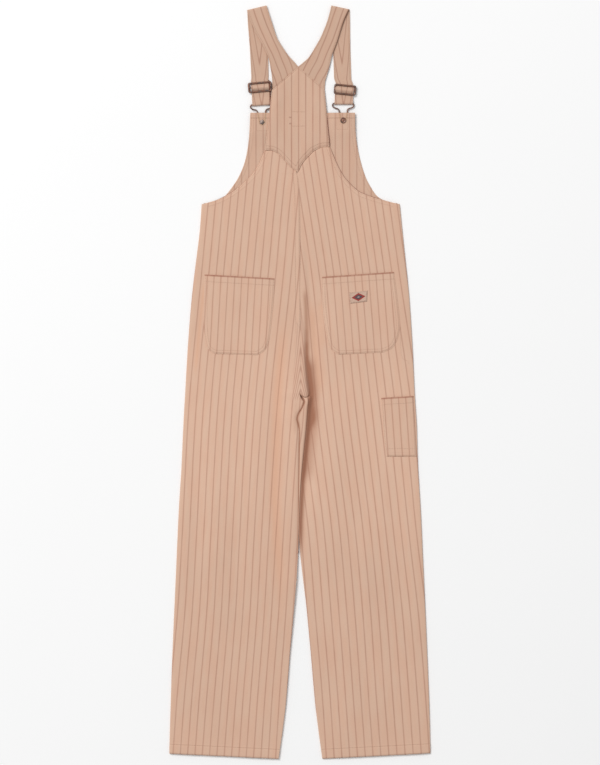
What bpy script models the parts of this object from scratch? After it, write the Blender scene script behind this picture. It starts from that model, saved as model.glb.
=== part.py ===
"""Bib overalls laid flat on their front, so that the back faces up.

Metres, +Z up, +Y from the hems to the shoulder folds. The origin is the middle of the
garment's outline on the surface it lies on. Left and right are as seen from above.

Each cut piece is a cloth sheet of its own. The pieces are laid one after another, and
each one finds its height from the pieces that are already under it.
"""

import math
from collections import namedtuple

import bmesh
import bpy
import numpy as np
from mathutils import Vector
from mathutils.bvhtree import BVHTree

# ---------------------------------------------------------------- driving dimensions

WALL = 0.0012  # one layer of twill
STRAP_WALL = 0.0014  # shoulder strap, turned and pressed
LABEL_WALL = 0.001  # woven patch
SEAM_GAP = 0.0003  # between pieces that are sewn or lie together
LOFT = 0.0017  # air between the back and the front away from the edges
YOKE_LOFT = 0.0012  # the same under the yoke
ROLL = 0.013  # width of the rounded roll at a side seam
WRAP_GAP = 0.0006  # inside a pressed fold
SETTLE_STEPS = 8  # rounds in which a laid sheet evens out its steps
CELL_SAMPLES = 7  # places tested along each side of a cell when a sheet is laid
SKY = 0.2  # height from which the layers below are felt

CROTCH_HEIGHT = -0.024  # where the four leg pieces meet
WAIST_HEIGHT = 0.3560  # seam between the bib and the front legs
SEAT_RIDGE_WIDTH = 0.045  # how far left of the seat seam its ridge fades
PLEAT_DROP = 0.0045  # width of the steep side of the seat pleat
THIGH_PRESS = 0.055  # how far from the inner edge the crossing thighs press flat
PRESSED_LOFT = 0.15  # share of the loft left where they cross

LEG_WIDTH = 0.22  # typical width of a leg, which spaces its columns
LEG_COLUMNS = 12
BIB_COLUMNS = 20
FRONT_COLUMNS = 8
YOKE_ROWS = 8
POCKET_COLUMNS = 8
LABEL_COLUMNS = 3
STRAP_COLUMNS = 3
TOOL_POCKET_WIDTH = 0.062

STRAP_RISE_SHARE = 0.45  # share of the back run over which the strap climbs from the yoke
FOLD_STEPS = 5  # turns of a strap round the shoulder fold and round the hook's bar
RETURN_PARTS = (0.35, 0.70, 0.97)  # rows of the strap's end, from the hook back to the slider

WIRE_RADIUS = 0.0014
WIRE_SIDES_RESOLUTION = 2
SLIDER_WIDTH = 0.0432  # between the middles of the side wires
SLIDER_HEIGHT = 0.0160  # between the middles of the top and bottom bars
SLIDER_CORNER = 0.0035
SLIDER_CORNER_STEPS = 3
SLIDER_PLANE = 2 * STRAP_WALL + 2 * SEAM_GAP + WIRE_RADIUS
HOOK_BAR_PLANE = STRAP_WALL + SEAM_GAP + WIRE_RADIUS
HOOK_EYE_PLANE = 0.0039
HOOK_EYE_RADIUS = 0.0050
HOOK_EYE_ANGLES = (10, 30, 50, 70, 90)  # round half of the eye, from the neck
BUTTON_RADIUS = 0.0085
BUTTON_HEAD = 0.0020
BUTTON_RIM = 0.0005
SHANK_RADIUS = 0.0032
SHANK_TOP = 0.0054
RIVET_RADIUS = 0.0046
RIVET_HEIGHT = 0.0016
RIVET_SEAT_STEP = 45  # degrees between the places where a rivet feels the cloth
TURN_STEPS = 20

CLOTH_COLOUR = (0.672, 0.445, 0.328, 1.0)
INNER_COLOUR = (0.610, 0.400, 0.300, 1.0)
STRAP_COLOUR = (0.585, 0.381, 0.275, 1.0)
LABEL_COLOUR = (0.640, 0.440, 0.340, 1.0)
METAL_COLOUR = (0.095, 0.065, 0.055, 1.0)
CLOTH_ROUGHNESS = 0.9
METAL_ROUGHNESS = 0.42

# ---------------------------------------------------------------- cutting tables

# One row for each section of a piece: its left end and its right end.
Row = namedtuple("Row", "left left_height right right_height")

# A leg of the back, hem to waist: the side seam and the inner edge of each section.
LEFT_LEG = (
    Row(-0.2606, -0.7434, -0.0424, -0.7536),
    Row(-0.2578, -0.6464, -0.0282, -0.6480),
    Row(-0.2544, -0.5464, -0.0202, -0.5464),
    Row(-0.2500, -0.4464, -0.0108, -0.4464),
    Row(-0.2456, -0.3464, -0.0036, -0.3464),
    Row(-0.2410, -0.2464, -0.0026, -0.2464),
    Row(-0.2364, -0.1764, -0.0028, -0.1764),
    Row(-0.2342, -0.1264, -0.0040, -0.1264),
    Row(-0.2328, -0.0964, -0.0058, -0.0834),
    Row(-0.2305, -0.0500, -0.0030, -0.0500),
    Row(-0.2288, -0.0240, 0.0006, -0.0240),
    Row(-0.2232, 0.0736, 0.0001, 0.0736),
    Row(-0.2150, 0.1736, -0.0005, 0.1736),
    Row(-0.2054, 0.2536, -0.0011, 0.2536),
    Row(-0.1992, 0.3036, -0.0015, 0.3036),
    Row(-0.1959, 0.3546, -0.0017, 0.3546),
)
RIGHT_LEG = (
    Row(0.0450, -0.7536, 0.2608, -0.7424),
    Row(0.0312, -0.6480, 0.2584, -0.6464),
    Row(0.0224, -0.5464, 0.2544, -0.5464),
    Row(0.0130, -0.4464, 0.2500, -0.4464),
    Row(0.0010, -0.3464, 0.2454, -0.3464),
    Row(-0.0052, -0.2464, 0.2406, -0.2464),
    Row(-0.0092, -0.1764, 0.2362, -0.1764),
    Row(-0.0118, -0.1264, 0.2344, -0.1264),
    Row(-0.0130, -0.0884, 0.2334, -0.0884),
    Row(-0.0080, -0.0500, 0.2309, -0.0500),
    Row(0.0010, -0.0240, 0.2292, -0.0240),
    Row(0.0004, 0.0736, 0.2246, 0.0736),
    Row(-0.0002, 0.1736, 0.2180, 0.1736),
    Row(-0.0008, 0.2536, 0.2096, 0.2536),
    Row(-0.0012, 0.3036, 0.2044, 0.3036),
    Row(-0.0014, 0.3546, 0.1994, 0.3546),
)

# The same pieces from the waist corner up the armhole, and from the seat seam's end along
# the yoke.
LEFT_UPPER = (
    Row(-0.1959, 0.3546, -0.0017, 0.3546),
    Row(-0.1636, 0.3630, -0.0019, 0.3660),
    Row(-0.1270, 0.3840, -0.0025, 0.3820),
    Row(-0.0962, 0.4120, -0.0057, 0.4176),
)
LEFT_TOP = (
    Row(-0.0962, 0.4120, -0.0057, 0.4176),
    Row(-0.0840, 0.4300, -0.0172, 0.4276),
    Row(-0.0770, 0.4440, -0.0310, 0.4414),
    Row(-0.0727, 0.4540, -0.0448, 0.4558),
    Row(-0.0700, 0.4620, -0.0540, 0.4612),
)
RIGHT_UPPER = (
    Row(-0.0014, 0.3546, 0.1994, 0.3546),
    Row(-0.0016, 0.3660, 0.1736, 0.3616),
    Row(-0.0022, 0.3820, 0.1200, 0.3784),
    Row(-0.0054, 0.4176, 0.0896, 0.4082),
)
RIGHT_TOP = (
    Row(-0.0054, 0.4176, 0.0896, 0.4082),
    Row(0.0034, 0.4346, 0.0792, 0.4254),
    Row(0.0126, 0.4460, 0.0712, 0.4426),
    Row(0.0264, 0.4600, 0.0656, 0.4560),
    Row(0.0430, 0.4672, 0.0606, 0.4688),
)

# The yoke: its width at each height, then the heights of its lower and upper edges.
YokeWidth = namedtuple("YokeWidth", "height left right")
YOKE_WIDTHS = (
    YokeWidth(0.4640, -0.0696, 0.0614),
    YokeWidth(0.4936, -0.0624, 0.0542),
    YokeWidth(0.5276, -0.0582, 0.0506),
    YokeWidth(0.5636, -0.0568, 0.0498),
    YokeWidth(0.5840, -0.0558, 0.0496),
)
YokeEdge = namedtuple("YokeEdge", "across lower upper")
YOKE_EDGES = (
    YokeEdge(0.00, 0.4628, 0.5832),
    YokeEdge(0.12, 0.4620, 0.5945),
    YokeEdge(0.20, 0.4563, 0.6020),
    YokeEdge(0.30, 0.4421, 0.6114),
    YokeEdge(0.40, 0.4281, 0.6208),
    YokeEdge(0.50, 0.4181, 0.6302),
    YokeEdge(0.56, 0.4354, 0.6247),
    YokeEdge(0.63, 0.4464, 0.6184),
    YokeEdge(0.74, 0.4612, 0.6084),
    YokeEdge(0.86, 0.4680, 0.5975),
    YokeEdge(1.00, 0.4698, 0.5848),
)

# The bib of the front, from the waist seam to its straight top edge.
BIB = (
    Row(-0.1930, 0.3563, 0.1965, 0.3563),
    Row(-0.1640, 0.3615, 0.1720, 0.3605),
    Row(-0.1488, 0.3716, 0.1530, 0.3716),
    Row(-0.1252, 0.4036, 0.1338, 0.4036),
    Row(-0.1111, 0.4356, 0.1230, 0.4356),
    Row(-0.1039, 0.4676, 0.1156, 0.4676),
    Row(-0.1004, 0.4996, 0.1112, 0.4996),
    Row(-0.0990, 0.5377, 0.1104, 0.5377),
)

# The back run of each strap, from the yoke seam to the shoulder fold.
LEFT_STRAP_BACK = (
    Row(-0.0558, 0.5836, -0.0035, 0.6306),
    Row(-0.0550, 0.6020, -0.0115, 0.6400),
    Row(-0.0582, 0.6260, -0.0224, 0.6516),
    Row(-0.0640, 0.6520, -0.0345, 0.6690),
    Row(-0.0775, 0.6800, -0.0450, 0.6860),
    Row(-0.0890, 0.7005, -0.0520, 0.7060),
    Row(-0.0985, 0.7230, -0.0590, 0.7280),
    Row(-0.1048, 0.7410, -0.0662, 0.7502),
)
RIGHT_STRAP_BACK = (
    Row(-0.0027, 0.6306, 0.0496, 0.5852),
    Row(0.0090, 0.6400, 0.0508, 0.6020),
    Row(0.0190, 0.6496, 0.0582, 0.6260),
    Row(0.0290, 0.6660, 0.0640, 0.6520),
    Row(0.0400, 0.6850, 0.0752, 0.6820),
    Row(0.0483, 0.7035, 0.0820, 0.7040),
    Row(0.0560, 0.7240, 0.0885, 0.7230),
    Row(0.0628, 0.7502, 0.0976, 0.7424),
)
# The front run, from the fold down to the slider's middle.
LEFT_STRAP_FRONT = (
    Row(-0.1050, 0.7410, -0.0664, 0.7502),
    Row(-0.1036, 0.7150, -0.0655, 0.7180),
    Row(-0.1000, 0.6700, -0.0640, 0.6700),
    Row(-0.0968, 0.6080, -0.0624, 0.6090),
)
RIGHT_STRAP_FRONT = (
    Row(0.0630, 0.7502, 0.1000, 0.7424),
    Row(0.0645, 0.7180, 0.1004, 0.7150),
    Row(0.0664, 0.6700, 0.1008, 0.6700),
    Row(0.0686, 0.6060, 0.1030, 0.6040),
)

# The pockets, top edge first, with round lower corners.
LEFT_POCKET = (
    Row(-0.1904, 0.2144, -0.0506, 0.2066),
    Row(-0.1916, 0.1760, -0.0520, 0.1730),
    Row(-0.1922, 0.1320, -0.0552, 0.1320),
    Row(-0.1910, 0.0960, -0.0596, 0.0960),
    Row(-0.1866, 0.0720, -0.0642, 0.0742),
    Row(-0.1800, 0.0615, -0.0715, 0.0610),
    Row(-0.1690, 0.0560, -0.0850, 0.0536),
)
RIGHT_POCKET = (
    Row(0.0444, 0.2096, 0.1884, 0.2196),
    Row(0.0432, 0.1780, 0.1930, 0.1820),
    Row(0.0460, 0.1400, 0.1978, 0.1400),
    Row(0.0505, 0.1062, 0.2000, 0.1060),
    Row(0.0570, 0.0756, 0.1920, 0.0776),
    Row(0.0640, 0.0630, 0.1820, 0.0655),
    Row(0.0790, 0.0545, 0.1650, 0.0586),
)
TOOL_POCKET = (
    Row(0.1628, -0.0324, 0.2275, -0.0284),
    Row(0.1656, -0.0750, 0.2297, -0.0740),
    Row(0.1685, -0.1180, 0.2318, -0.1180),
    Row(0.1736, -0.1494, 0.2332, -0.1494),
)
LABEL = (
    Row(0.0978, 0.1828, 0.1354, 0.1828),
    Row(0.0980, 0.1568, 0.1356, 0.1568),
)

# The seat pleat: how far its edge stands to the right of the seat seam.
PleatSection = namedtuple("PleatSection", "height width ridge")
SEAT_PLEAT = (
    PleatSection(-0.0700, 0.0250, 0.0000),
    PleatSection(-0.0240, 0.0172, 0.0012),
    PleatSection(0.0300, 0.0176, 0.0040),
    PleatSection(0.0956, 0.0170, 0.0044),
    PleatSection(0.1496, 0.0144, 0.0038),
    PleatSection(0.1916, 0.0128, 0.0030),
    PleatSection(0.2316, 0.0092, 0.0019),
    PleatSection(0.2816, 0.0060, 0.0006),
    PleatSection(0.3400, 0.0060, 0.0000),
)

# Where the left leg's front turns over the inner thigh: the fold and the inseam on top.
ThighWrap = namedtuple("ThighWrap", "height fold")
THIGH_WRAP = (
    ThighWrap(-0.7536, -0.0424),
    ThighWrap(-0.5464, -0.0202),
    ThighWrap(-0.4464, -0.0108),
    ThighWrap(-0.3464, -0.0030),
    ThighWrap(-0.2764, 0.0000),
    ThighWrap(-0.1964, 0.0036),
    ThighWrap(-0.1364, 0.0088),
    ThighWrap(-0.0764, 0.0146),
    ThighWrap(-0.0240, 0.0172),
)
WRAP_START = -0.3200  # below this the inseam lies on the edge itself
FRONT_LEFT_FRACTIONS = np.array((0.0, 0.18, 0.35, 0.53, 0.70, 0.88, 0.92, 0.96, 1.0))

# Soft creases of the back: a ridge has a positive rise, a trough a negative one.
Crease = namedtuple("Crease", "x y x_end y_end half_width rise")
LEFT_CREASES = (
    Crease(-0.026, 0.160, -0.042, 0.000, 0.016, -0.0010),
    Crease(-0.042, 0.000, -0.050, -0.230, 0.015, -0.0012),
    Crease(-0.050, -0.230, -0.034, -0.480, 0.014, -0.0010),
    Crease(-0.206, -0.040, -0.206, -0.330, 0.016, -0.0010),
    Crease(-0.206, -0.330, -0.218, -0.640, 0.015, -0.0007),
    Crease(-0.126, -0.260, -0.126, -0.500, 0.018, -0.0009),
    Crease(-0.078, 0.020, -0.088, -0.240, 0.024, 0.0011),
    Crease(-0.160, -0.080, -0.166, -0.420, 0.024, 0.0009),
    Crease(-0.150, -0.520, -0.150, -0.720, 0.022, -0.0006),
)
RIGHT_CREASES = (
    Crease(0.128, -0.280, 0.140, -0.500, 0.014, 0.0010),
    Crease(0.100, -0.060, 0.112, -0.300, 0.022, -0.0007),
    Crease(0.058, -0.120, 0.070, -0.360, 0.024, 0.0009),
    Crease(0.190, -0.220, 0.200, -0.520, 0.020, -0.0008),
    Crease(0.084, -0.480, 0.092, -0.700, 0.022, 0.0007),
    Crease(0.040, 0.180, 0.034, 0.020, 0.016, -0.0008),
)

# A wire hook: half its outline, from the bar to the eye that holds the button.
HookPoint = namedtuple("HookPoint", "half_width drop rise")
HOOK_SHAPE = (
    HookPoint(0.0176, 0.0000, 0.0),
    HookPoint(0.0200, 0.0008, 0.0),
    HookPoint(0.0216, 0.0038, 0.0),
    HookPoint(0.0202, 0.0076, 0.1),
    HookPoint(0.0158, 0.0098, 0.2),
    HookPoint(0.0108, 0.0110, 0.3),
    HookPoint(0.0083, 0.0138, 0.5),
    HookPoint(0.0080, 0.0180, 0.8),
    HookPoint(0.0064, 0.0260, 1.0),
)

# Each fastening: the slider, the hook's bar and the button, which one strap joins. The
# strap may lie to one side of the slider's middle.
Fastening = namedtuple("Fastening", "slider slider_turn strap_shift hook_bar button")
FASTENINGS = {
    "left": Fastening((-0.0797, 0.5886), 5.0, 0.0, (-0.0777, 0.5550), (-0.0754, 0.5186)),
    "right": Fastening((0.0908, 0.5836), -5.5, -0.0026, (0.0866, 0.5570), (0.0868, 0.5222)),
}

# A strap in its slider: how far above the middle bar, and how far it has climbed from under
# the outer bars (0) to over the middle bar (1).
ThreadPoint = namedtuple("ThreadPoint", "above climb")
THREADING = (
    ThreadPoint(0.0120, -0.13),
    ThreadPoint(0.0092, -0.02),
    ThreadPoint(0.0065, -0.02),
    ThreadPoint(0.0018, 0.87),
    ThreadPoint(0.0000, 1.00),
    ThreadPoint(-0.0018, 0.87),
    ThreadPoint(-0.0065, 0.00),
    ThreadPoint(-0.0094, 0.00),
)
# From the slider to the hook's bar: the share of the way, and the climb onto the bar.
LoopPoint = namedtuple("LoopPoint", "part climb")
LOOP_APPROACH = (
    LoopPoint(0.45, 0.13),
    LoopPoint(0.80, 0.77),
    LoopPoint(1.00, 1.00),
)

# A rivet's outline, as shares of its radius and height, from its dimple to its foot.
RIVET_OUTLINE = ((0.0, 0.55), (0.28, 0.55), (0.45, 1.0), (0.72, 1.0), (1.0, 0.45), (1.0, 0.0), (0.0, 0.0))


# ---------------------------------------------------------------- scene and materials


def clear_scene():
    for obj in list(bpy.data.objects):
        bpy.data.objects.remove(obj, do_unlink=True)


def new_collection(name):
    collection = bpy.data.collections.new(name)
    bpy.context.scene.collection.children.link(collection)
    return collection


def finish_of(name, colour, roughness, metallic):
    """One plain material: its colour, roughness and metallic value."""
    material = bpy.data.materials.new(name)
    material.use_nodes = True
    shader = material.node_tree.nodes["Principled BSDF"]
    shader.inputs["Base Color"].default_value = colour
    shader.inputs["Roughness"].default_value = roughness
    shader.inputs["Metallic"].default_value = metallic
    material.diffuse_color = colour
    return material


def cloth(name, colour=CLOTH_COLOUR):
    return finish_of(name, colour, CLOTH_ROUGHNESS, 0.0)


def metal(name):
    return finish_of(name, METAL_COLOUR, METAL_ROUGHNESS, 1.0)


def add_object(name, data, collection, material):
    obj = bpy.data.objects.new(name, data)
    collection.objects.link(obj)
    obj.data.materials.append(material)
    return obj


# ---------------------------------------------------------------- smooth tables


def smooth_rows(rows, steps):
    """Sections on smooth curves through those of a table, a number of steps to each span."""
    table = np.array(rows, float)
    spans = np.linalg.norm(np.diff(table, axis=0), axis=1) ** 0.5
    knots = np.concatenate([[0.0], np.cumsum(spans)])
    slopes = np.gradient(table, knots, axis=0)
    made = []
    for index in range(len(table) - 1):
        width = knots[index + 1] - knots[index]
        for step in range(steps):
            made.append(hermite(table, slopes, index, width, step / steps))
    made.append(table[-1])
    return np.array(made)


def joined_rows(tables, steps):
    """Smooth sections through several tables in turn, with a corner where two of them meet."""
    pieces = [smooth_rows(table, steps) for table in tables]
    return np.concatenate([pieces[0], *(piece[1:] for piece in pieces[1:])])


def hermite(table, slopes, index, width, part):
    """A point of the cubic between two rows of a table, from their values and slopes."""
    start = (1 + 2 * part) * (1 - part) ** 2 * table[index]
    end = part**2 * (3 - 2 * part) * table[index + 1]
    leave = part * (1 - part) ** 2 * width * slopes[index]
    arrive = part**2 * (part - 1) * width * slopes[index + 1]
    return start + end + leave + arrive


def read_table(rows, value, column, key=0):
    """A column of a table at a value of its key column, on straight lines between rows."""
    table = sorted(rows, key=lambda row: row[key])
    return float(np.interp(value, [row[key] for row in table], [row[column] for row in table]))


def ends(sections):
    """The two ends of each section, as (sections, 2, 2)."""
    return np.array(sections, float).reshape(-1, 2, 2)


# ---------------------------------------------------------------- laying cloth


class Pile:
    """What lies under the next sheet, felt from above."""

    def __init__(self):
        self.trees = {}

    def add(self, obj):
        graph = bpy.context.evaluated_depsgraph_get()
        shape = obj.evaluated_get(graph).to_mesh()
        places = [obj.matrix_world @ vertex.co for vertex in shape.vertices]
        faces = [tuple(polygon.vertices) for polygon in shape.polygons]
        self.trees[obj.name] = BVHTree.FromPolygons(places, faces)

    def top(self, x, y):
        """The highest surface at a place, or the ground."""
        highest = 0.0
        start = Vector((x, y, SKY))
        for tree in self.trees.values():
            hit = tree.ray_cast(start, Vector((0, 0, -1)), SKY)[0]
            if hit is not None:
                highest = max(highest, hit.z + SEAM_GAP)
        return highest

    def rest(self, plan):
        """The lowest clear height of each grid point of a sheet, from its plan (rows, columns, 2)."""
        rows, columns = plan.shape[:2]
        cells = np.zeros((rows + 1, columns + 1))
        parts = np.linspace(0, 1, CELL_SAMPLES)
        for row in range(rows - 1):
            for column in range(columns - 1):
                corners = plan[row : row + 2, column : column + 2]
                cells[row + 1, column + 1] = max(
                    self.top(*blend_corners(corners, across, along)) for across in parts for along in parts
                )
        around = [cells[:-1, :-1], cells[:-1, 1:], cells[1:, :-1], cells[1:, 1:]]
        return np.maximum.reduce(around)


def blend_corners(corners, across, along):
    lower = corners[0, 0] * (1 - across) + corners[0, 1] * across
    upper = corners[1, 0] * (1 - across) + corners[1, 1] * across
    return lower * (1 - along) + upper * along


def settle(height, held=()):
    """A sheet evens out the steps below it, and only ever rises. Held columns stay down."""
    settled = height.copy()
    for _ in range(SETTLE_STEPS):
        wide = np.pad(settled, 1, mode="edge")
        around = (wide[:-2, 1:-1] + wide[2:, 1:-1] + wide[1:-1, :-2] + wide[1:-1, 2:]) / 4
        settled = np.maximum(settled, around)
        for column in held:
            settled[:, column] = height[:, column]
    return settled


def roll(distance):
    """The height of a rounded roll at a distance from its edge, from 0 to 1."""
    part = np.clip(distance / ROLL, 0, 1)
    return np.sqrt(1 - (1 - part) ** 2)


def crease_height(plan, creases):
    """The rise of the soft creases at each point of a plan."""
    height = np.zeros(plan.shape[:2])
    for crease in creases:
        start = np.array((crease.x, crease.y))
        way = np.array((crease.x_end, crease.y_end)) - start
        along = ((plan - start) @ way) / (way @ way)
        foot = start + np.clip(along, 0, 1)[..., None] * way
        apart = np.linalg.norm(plan - foot, axis=2)
        height += crease.rise * np.exp(-((apart / crease.half_width) ** 2))
    return height


def columns_across(count, rolled_left, rolled_right, width):
    """Fractions across a piece, with two more columns inside each rolled edge."""
    near = [0.28 * ROLL / width, ROLL / width]
    start = near[-1] if rolled_left else 0.0
    end = 1 - near[-1] if rolled_right else 1.0
    middle = list(np.linspace(start, end, count + 1))
    left = [0.0, near[0]] if rolled_left else []
    right = [1 - near[0], 1.0] if rolled_right else []
    return np.array(left + middle + right)


def spread(sections, fractions):
    """The plan of a sheet: points at fixed fractions of each section."""
    sides = ends(sections)
    return sides[:, :1] * (1 - fractions[None, :, None]) + sides[:, 1:] * fractions[None, :, None]


def grid_mesh(name, points, dropped=()):
    """A grid whose points are set to (rows, columns, 3), less the cells that are dropped."""
    rows, columns = points.shape[:2]
    mesh = bmesh.new()
    bmesh.ops.create_grid(mesh, x_segments=columns - 1, y_segments=rows - 1, size=1.0)
    places = {}
    for vertex in mesh.verts:
        column = round((vertex.co.x + 1) / 2 * (columns - 1))
        row = round((vertex.co.y + 1) / 2 * (rows - 1))
        places[vertex.index] = (row, column)
        vertex.co = Vector(points[row, column])
    lost = [face for face in mesh.faces if min(places[v.index] for v in face.verts) in dropped]
    bmesh.ops.delete(mesh, geom=lost, context="FACES")
    bmesh.ops.recalc_face_normals(mesh, faces=mesh.faces)
    data = bpy.data.meshes.new(name)
    mesh.to_mesh(data)
    mesh.free()
    return data


def thicken(obj, wall, side):
    """Gives a sheet its wall. Side 1 puts it on top of the sheet's points, 0 round them."""
    solidify = obj.modifiers.new("Wall", "SOLIDIFY")
    solidify.thickness = wall
    solidify.offset = side
    solidify.use_even_offset = False
    return obj


def make_sheet(name, points, wall, side, material, collection, dropped=()):
    obj = add_object(name, grid_mesh(name, points, dropped), collection, material)
    faces_up = sum(polygon.normal.z * polygon.area for polygon in obj.data.polygons) > 0
    if side and not faces_up:
        obj.data.flip_normals()
    thicken(obj, wall, side)
    bpy.context.view_layer.update()
    return obj


def lay_sheet(name, plan, pile, loft, material, collection, wall=WALL, held=()):
    """A sheet laid on the pile and lifted by its loft, with its wall above its points."""
    height = settle(pile.rest(plan), held) + np.maximum(loft, 0)
    points = np.dstack([plan, height])
    obj = make_sheet(name, points, wall, 1, material, collection)
    pile.add(obj)
    return obj


def edge_distances(plan):
    """How far each point is from the left and the right end of its section."""
    from_left = np.linalg.norm(plan - plan[:, :1], axis=2)
    from_right = np.linalg.norm(plan - plan[:, -1:], axis=2)
    return from_left, from_right


# ---------------------------------------------------------------- fastenings


def wire(name, points, cyclic, collection, material):
    """A round wire along a list of points."""
    curve = bpy.data.curves.new(name, "CURVE")
    curve.dimensions = "3D"
    curve.bevel_depth = WIRE_RADIUS
    curve.bevel_resolution = WIRE_SIDES_RESOLUTION
    curve.use_fill_caps = not cyclic
    spline = curve.splines.new("POLY")
    spline.points.add(len(points) - 1)
    for place, point in zip(spline.points, points):
        place.co = (*point, 1.0)
    spline.use_cyclic_u = cyclic
    return add_object(name, curve, collection, material)


def round_rectangle(width, height, radius, steps):
    """Points round a rectangle with round corners, about the origin."""
    points = []
    for quarter in range(4):
        right = 1 if quarter in (0, 3) else -1
        top = 1 if quarter in (0, 1) else -1
        for step in range(steps + 1):
            angle = math.radians(90 * quarter + 90 * step / steps)
            x = right * (width / 2 - radius) + radius * math.cos(angle)
            y = top * (height / 2 - radius) + radius * math.sin(angle)
            points.append((x, y, 0.0))
    return points


def curve_to_mesh(obj, collection):
    """The same wire as a mesh object, with its caps welded on."""
    graph = bpy.context.evaluated_depsgraph_get()
    data = bpy.data.meshes.new_from_object(obj.evaluated_get(graph))
    mesh = bmesh.new()
    mesh.from_mesh(data)
    bmesh.ops.remove_doubles(mesh, verts=mesh.verts, dist=1e-6)
    mesh.to_mesh(data)
    mesh.free()
    made = bpy.data.objects.new(obj.name + "_mesh", data)
    made.matrix_world = obj.matrix_world.copy()
    collection.objects.link(made)
    bpy.data.objects.remove(obj, do_unlink=True)
    return made


def slider(side, fastening, collection, guides):
    """A wire frame with a middle bar, which the strap is threaded through."""
    name = "slider_" + side
    material = metal(name)
    frame_path = round_rectangle(SLIDER_WIDTH, SLIDER_HEIGHT, SLIDER_CORNER, SLIDER_CORNER_STEPS)
    frame = curve_to_mesh(wire(name + "_frame", frame_path, True, guides, material), collection)
    frame.name = name
    half = SLIDER_WIDTH / 2
    bar_path = [(-half, 0, 0), (half, 0, 0)]
    bar = curve_to_mesh(wire(name + "_bar", bar_path, False, guides, material), guides)
    bar.hide_render = True
    bar.display_type = "WIRE"
    union = frame.modifiers.new("Bar", "BOOLEAN")
    union.operation = "UNION"
    union.object = bar
    for piece in (frame, bar):
        piece.location = (*fastening.slider, SLIDER_PLANE)
        piece.rotation_euler.z = math.radians(fastening.slider_turn)
    return frame


def hook_path(fastening):
    """The closed path of a hook: bar, shoulders, then the eye round the button's shank."""
    bar = np.array(fastening.hook_bar)
    button = np.array(fastening.button)
    down = button - bar
    reach = np.linalg.norm(down)
    down = down / reach
    aside = np.array((-down[1], down[0]))
    rise = HOOK_EYE_PLANE - HOOK_BAR_PLANE
    half = []
    for point in HOOK_SHAPE:
        half.append((point.half_width, point.drop, HOOK_BAR_PLANE + rise * point.rise))
    for angle in np.radians(HOOK_EYE_ANGLES):
        eye = (HOOK_EYE_RADIUS * math.cos(angle), reach + HOOK_EYE_RADIUS * math.sin(angle))
        half.append((*eye, HOOK_EYE_PLANE))
    other = [(-across, drop, z) for across, drop, z in reversed(half[:-1])]
    return [(*(bar + aside * across + down * drop), z) for across, drop, z in half + other]


def hook(side, fastening, collection):
    name = "hook_" + side
    path = hook_path(fastening)
    obj = curve_to_mesh(wire(name + "_wire", path, True, collection, metal(name)), collection)
    obj.name = name
    bpy.context.view_layer.update()
    return obj


def turned(name, profile, place, collection, material):
    """A turned piece: a profile of (radius, height) points, run down its outer side."""
    mesh = bmesh.new()
    verts = [mesh.verts.new((radius, 0.0, height)) for radius, height in profile]
    for start, end in zip(verts, verts[1:]):
        mesh.edges.new((start, end))
    data = bpy.data.meshes.new(name)
    mesh.to_mesh(data)
    mesh.free()
    obj = add_object(name, data, collection, material)
    obj.location = place
    screw = obj.modifiers.new("Turn", "SCREW")
    screw.steps = TURN_STEPS
    screw.render_steps = TURN_STEPS
    screw.use_merge_vertices = True
    screw.merge_threshold = 0.00005
    bpy.context.view_layer.update()
    return obj


def button(side, fastening, collection):
    """A jeans button: its head on the ground, with its shank up to the bib."""
    profile = [
        (0.0, SHANK_TOP),
        (SHANK_RADIUS, SHANK_TOP),
        (SHANK_RADIUS, BUTTON_HEAD),
        (BUTTON_RADIUS - BUTTON_RIM, BUTTON_HEAD),
        (BUTTON_RADIUS, BUTTON_HEAD - BUTTON_RIM),
        (BUTTON_RADIUS, BUTTON_RIM),
        (BUTTON_RADIUS - BUTTON_RIM, 0.0),
        (0.0, 0.0),
    ]
    name = "button_" + side
    return turned(name, profile, (*fastening.button, 0.0), collection, metal(name))


def rivet(side, fastening, pile, collection):
    """The tack that holds the button, seen on the inside of the bib."""
    profile = [(RIVET_RADIUS * out, RIVET_HEIGHT * up) for out, up in RIVET_OUTLINE]
    x, y = fastening.button
    seat = pile.top(x, y)
    for angle in np.radians(np.arange(0, 360, RIVET_SEAT_STEP)):
        rim_height = pile.top(x + RIVET_RADIUS * math.cos(angle), y + RIVET_RADIUS * math.sin(angle))
        seat = max(seat, rim_height)
    name = "rivet_" + side
    return turned(name, profile, (x, y, seat), collection, metal(name))


# ---------------------------------------------------------------- straps


def strap_rows(back, front, fastening):
    """The middle surface of a strap: the two ends of each row."""
    low = STRAP_WALL / 2
    high = 2 * STRAP_WALL + 4 * SEAM_GAP
    seam = YOKE_LOFT + WALL / 2
    back_sections = ends(smooth_rows(back, 2))
    front_sections = ends(smooth_rows(front, 2))
    rows = []
    for index, section in enumerate(back_sections):
        part = min(1.0, index / (STRAP_RISE_SHARE * len(back_sections)))
        rows.append(with_height(section, seam + (high - seam) * part))
    rows.extend(shoulder_fold(back_sections, front_sections[0], low, high))
    rows.extend(with_height(section, low) for section in front_sections)
    rows.extend(threaded_rows(front_sections[-1], fastening))
    return np.array(rows)


def shoulder_fold(back_sections, first_front, low, high):
    """Rows round the fold at the top of a strap, from the back run down to the front run."""
    over = (back_sections[-1] - back_sections[-2]).mean(axis=0)
    over = over / np.linalg.norm(over)
    bend = (high - low) / 2
    rows = []
    for step in range(1, FOLD_STEPS):
        part = step / FOLD_STEPS
        angle = math.pi * part
        section = back_sections[-1] * (1 - part) + first_front * part + over * bend * math.sin(angle)
        rows.append(with_height(section, low + bend * (1 + math.cos(angle))))
    return rows


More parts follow.
